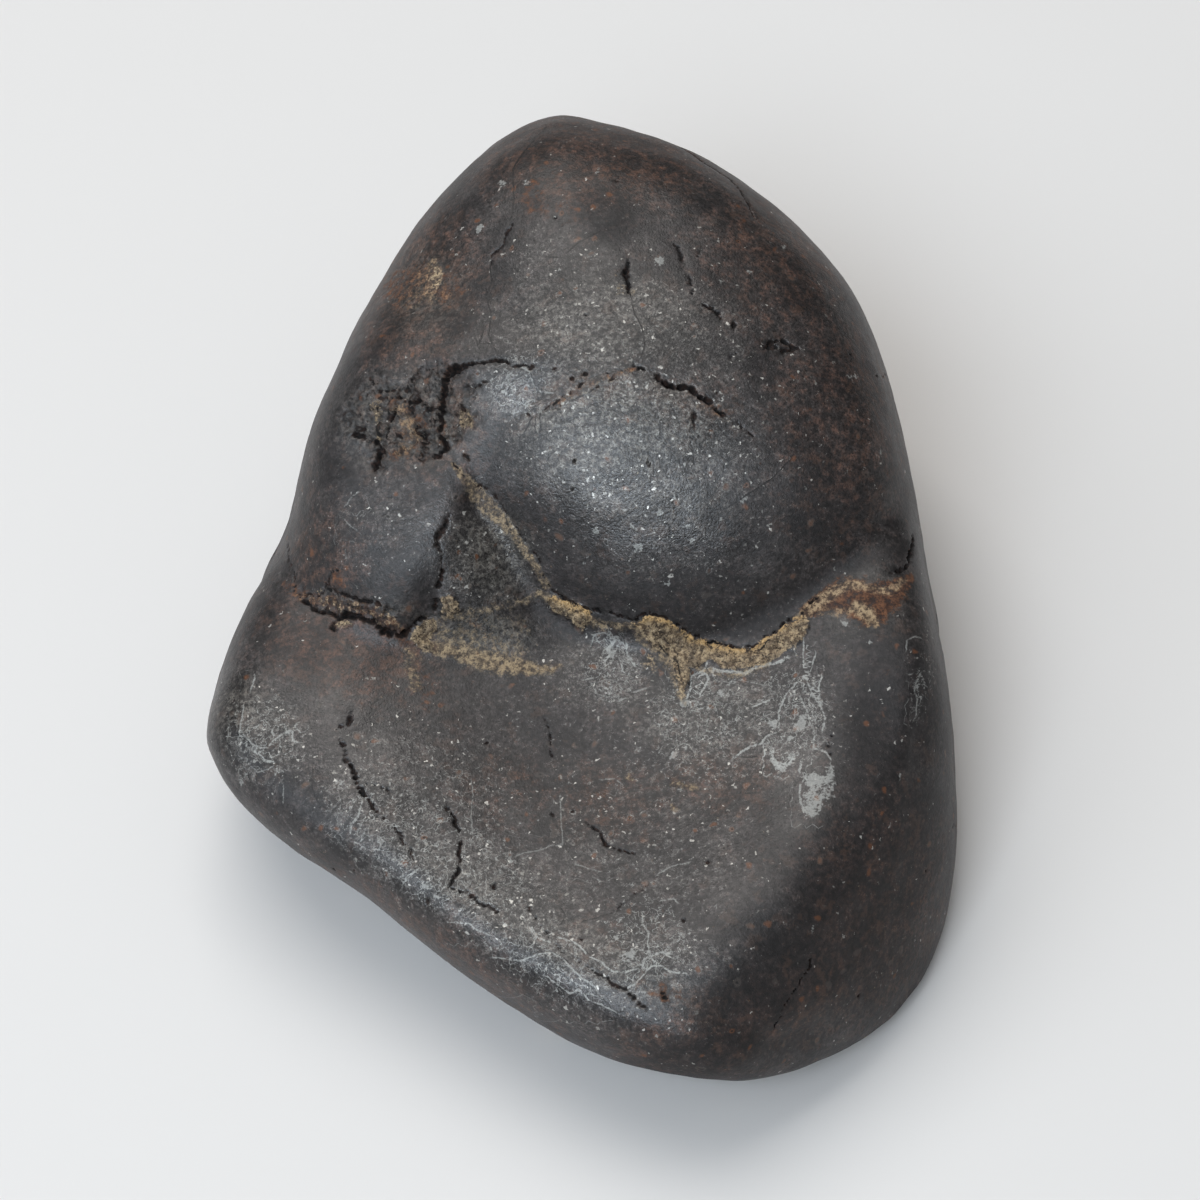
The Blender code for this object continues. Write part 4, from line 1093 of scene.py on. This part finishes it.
# rust and pale brown crust
rust_col = blend(ramp(crumb, 0.35, 0.68), (0.048, 0.022, 0.016), (0.215, 0.100, 0.050))
rust_col = blend(ramp(crumb_fine, 0.47, 0.34, 0.0, 0.75), rust_col, (0.018, 0.010, 0.008))
rust_on = ramp(calc('MULTIPLY_ADD', calc('SUBTRACT', mottle2, 0.5), 1.2, calc('MULTIPLY_ADD', calc('SUBTRACT', crumb, 0.5), 1.3, RUSTC)), 0.25, 0.90)
col = blend(calc('MULTIPLY', rust_on, 0.85), col, rust_col)
loose = calc('SUBTRACT', calc('MULTIPLY_ADD', crumb, 0.6, calc('MULTIPLY', crumb_fine, 0.4)), 0.5)
stain_col = blend(ramp(crumb, 0.36, 0.62), (0.125, 0.089, 0.058), (0.46, 0.362, 0.240))
stain_col = blend(ramp(crumb_fine, 0.47, 0.36, 0.0, 0.75), stain_col, (0.035, 0.024, 0.017))
stain_on = ramp(calc('MULTIPLY_ADD', loose, 2.0, STAIN), 0.25, 1.10)
col = blend(calc('MULTIPLY', stain_on, 0.85), col, stain_col)
lime_col = blend(ramp(crumb, 0.36, 0.62), (0.145, 0.102, 0.064), (0.54, 0.425, 0.285))
lime_col = blend(ramp(mottle2, 0.46, 0.60, 0.0, 0.65), lime_col, (0.15, 0.118, 0.088))
lime_col = blend(calc('MULTIPLY', RIM, ramp(crumb, 0.36, 0.54)), lime_col, (0.62, 0.430, 0.215))
lime_col = blend(ramp(crumb_fine, 0.54, 0.70, 0.0, 0.5), lime_col, (0.72, 0.62, 0.46))
lime_col = blend(ramp(crumb_fine, 0.46, 0.35, 0.0, 0.75), lime_col, (0.045, 0.030, 0.019))
vein_dark = calc('MULTIPLY', ramp(thread, 0.026, 0.006), ramp(crumb_fine, 0.60, 0.45))
lime_col = blend(calc('MULTIPLY', vein_dark, 0.85), lime_col, (0.022, 0.014, 0.010))
lime_on = ramp(calc('MULTIPLY_ADD', loose, 2.4, LIMEC), 0.30, 0.76)
col = blend(calc('MULTIPLY', lime_on, 0.94), col, lime_col)

# the cracks', pits' and gaps' insides painted in shade, near black with some rust on their sides, and the dark
# hairlines
hair_at = calc('ABSOLUTE', calc('ADD', calc('SUBTRACT', HAIR_D, 0.5), wobble))
hairline = calc('MULTIPLY', calc('MULTIPLY', ramp(hair_at, 0.085, 0.030), HAIR_S), ramp(mottle2, 0.36, 0.52, 0.35, 0.95))
col = blend(hairline, col, (0.008, 0.006, 0.006))
crack_shade_and_rust_tone = blend(ramp(crumb, 0.42, 0.66), (0.005, 0.003, 0.003), (0.045, 0.021, 0.014))
col = blend(ramp(PAINTED_CRACK_SHADE, 0.08, 0.50, 0.0, 0.96), col, crack_shade_and_rust_tone)

cover_all = calc('MAXIMUM', calc('MAXIMUM', lime_on, calc('MAXIMUM', rust_on, stain_on)), ramp(PAINTED_CRACK_SHADE, 0.1, 0.5))
rough = calc('MULTIPLY_ADD', calc('SUBTRACT', mottle2, 0.5), 0.22, 0.48)
rough = calc('MULTIPLY_ADD', GLOSS, -0.17, rough)
rough = calc('MULTIPLY_ADD', SMUDGE_AND_PAINTED_SHADE, 0.26, rough)
rough = calc('MULTIPLY_ADD', calc('SUBTRACT', salt, 0.5), 0.25, rough)
rough = calc('MULTIPLY_ADD', cover_all, 0.38, rough, clamp=True)
metal = calc('MULTIPLY', calc('MAXIMUM', flecks, lights), 0.50)
metal = calc('MULTIPLY', metal, calc('SUBTRACT', 1.0, calc('MAXIMUM', cover_all, pale), clamp=True), clamp=True)

# relief finer than the mesh
fine = calc('MULTIPLY', medium, 0.030)
fine = calc('MULTIPLY_ADD', salt, 0.038, fine)
crumbly = calc('MAXIMUM', calc('MAXIMUM', LIMEC, calc('MULTIPLY', calc('MAXIMUM', RUSTC, STAIN), 0.5)), calc('MULTIPLY', BROKE, 0.4))
fine = calc('MULTIPLY_ADD', calc('MULTIPLY', crumbly, crumb_fine), 0.20, fine)
bump = node("ShaderNodeBump")
bump.inputs["Strength"].default_value = 1.0
bump.inputs["Distance"].default_value = 0.001
put(bump.inputs["Height"], fine)

skin = node("ShaderNodeBsdfPrincipled")
skin.inputs["IOR"].default_value = 1.75
put(skin.inputs["Base Color"], col)
put(skin.inputs["Roughness"], rough)
put(skin.inputs["Metallic"], metal)
put(skin.inputs["Normal"], bump.outputs[0])
out = node("ShaderNodeOutputMaterial")
tree.links.new(skin.outputs[0], out.inputs[0])
mesh.materials.append(mat)

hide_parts("meteorite")
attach(stone, "root")


# ================================================================ floor, light, camera
def plain(name, color, roughness):
    m = bpy.data.materials.new(name)
    m.use_nodes = True
    b = m.node_tree.nodes["Principled BSDF"]
    b.inputs["Base Color"].default_value = (*color, 1.0)
    b.inputs["Roughness"].default_value = roughness
    b.inputs["Specular IOR Level"].default_value = 0.2
    return m


floor_mesh = bpy.data.meshes.new("floor")
floor_mesh.from_pydata([(-3, -3, 0), (3, -3, 0), (3, 3, 0), (-3, 3, 0)], [], [(0, 1, 2, 3)])
floor_mesh.materials.append(plain("floor_paper", (0.755, 0.744, 0.733), 0.7))
floor = bpy.data.objects.new("floor", floor_mesh)
bpy.context.scene.collection.objects.link(floor)

# a pale room that is bright overhead and to the left, and dim low down and to the right
world = bpy.data.worlds.new("studio")
bpy.context.scene.world = world
world.use_nodes = True
wt = world.node_tree
sky = wt.nodes["Background"]
way = wt.nodes.new("ShaderNodeTexCoord")
dot = wt.nodes.new("ShaderNodeVectorMath")
dot.operation = 'DOT_PRODUCT'
wt.links.new(way.outputs["Generated"], dot.inputs[0])
dot.inputs[1].default_value = Vector((-0.30, -0.12, 0.94)).normalized()
level = wt.nodes.new("ShaderNodeMapRange")
level.interpolation_type = 'SMOOTHSTEP'
wt.links.new(dot.outputs["Value"], level.inputs["Value"])
for k, v in (("From Min", -0.1), ("From Max", 1.0), ("To Min", 0.14), ("To Max", 0.42)):
    level.inputs[k].default_value = v
sky.inputs[0].default_value = (1.0, 0.995, 0.99, 1.0)
wt.links.new(level.outputs[0], sky.inputs[1])


def area_light(name, direction, distance, size, watts, color=(1.0, 1.0, 1.0)):
    data = bpy.data.lights.new(name, 'AREA')
    data.shape = 'SQUARE'
    data.size = size
    data.energy = watts
    data.color = color
    o = bpy.data.objects.new(name, data)
    d = Vector(direction).normalized()
    o.location = Vector((0, 0, 0.02)) + d * distance
    o.rotation_euler = d.to_track_quat('Z', 'Y').to_euler()
    bpy.context.scene.collection.objects.link(o)
    return o


area_light("overhead", (-0.18, 0.36, 0.915), 1.20, 0.90, 7.4, (1.0, 0.97, 0.935))
area_light("window", (-0.27, -0.65, 0.71), 1.20, 0.60, 8.2, (0.83, 0.915, 1.0))
area_light("side_window", (-0.80, -0.30, 0.52), 1.20, 0.80, 2.7, (0.82, 0.91, 1.0))

cam_data = bpy.data.cameras.new("camera")
cam_data.lens = 90.0
cam_data.sensor_width = 36.0
cam_data.clip_start = 0.01
cam_data.clip_end = 10.0
cam = bpy.data.objects.new("camera", cam_data)
turn = Matrix((RIGHT, UP, BACK)).transposed().to_4x4()
cam.matrix_world = Matrix.Translation(Vector((EYE - SHIFT) * MM)) @ turn
bpy.context.scene.collection.objects.link(cam)
bpy.context.scene.camera = cam

bpy.context.scene.view_settings.view_transform = 'Standard'
bpy.context.scene.view_settings.look = 'None'
bpy.context.scene.view_settings.gamma = 0.80
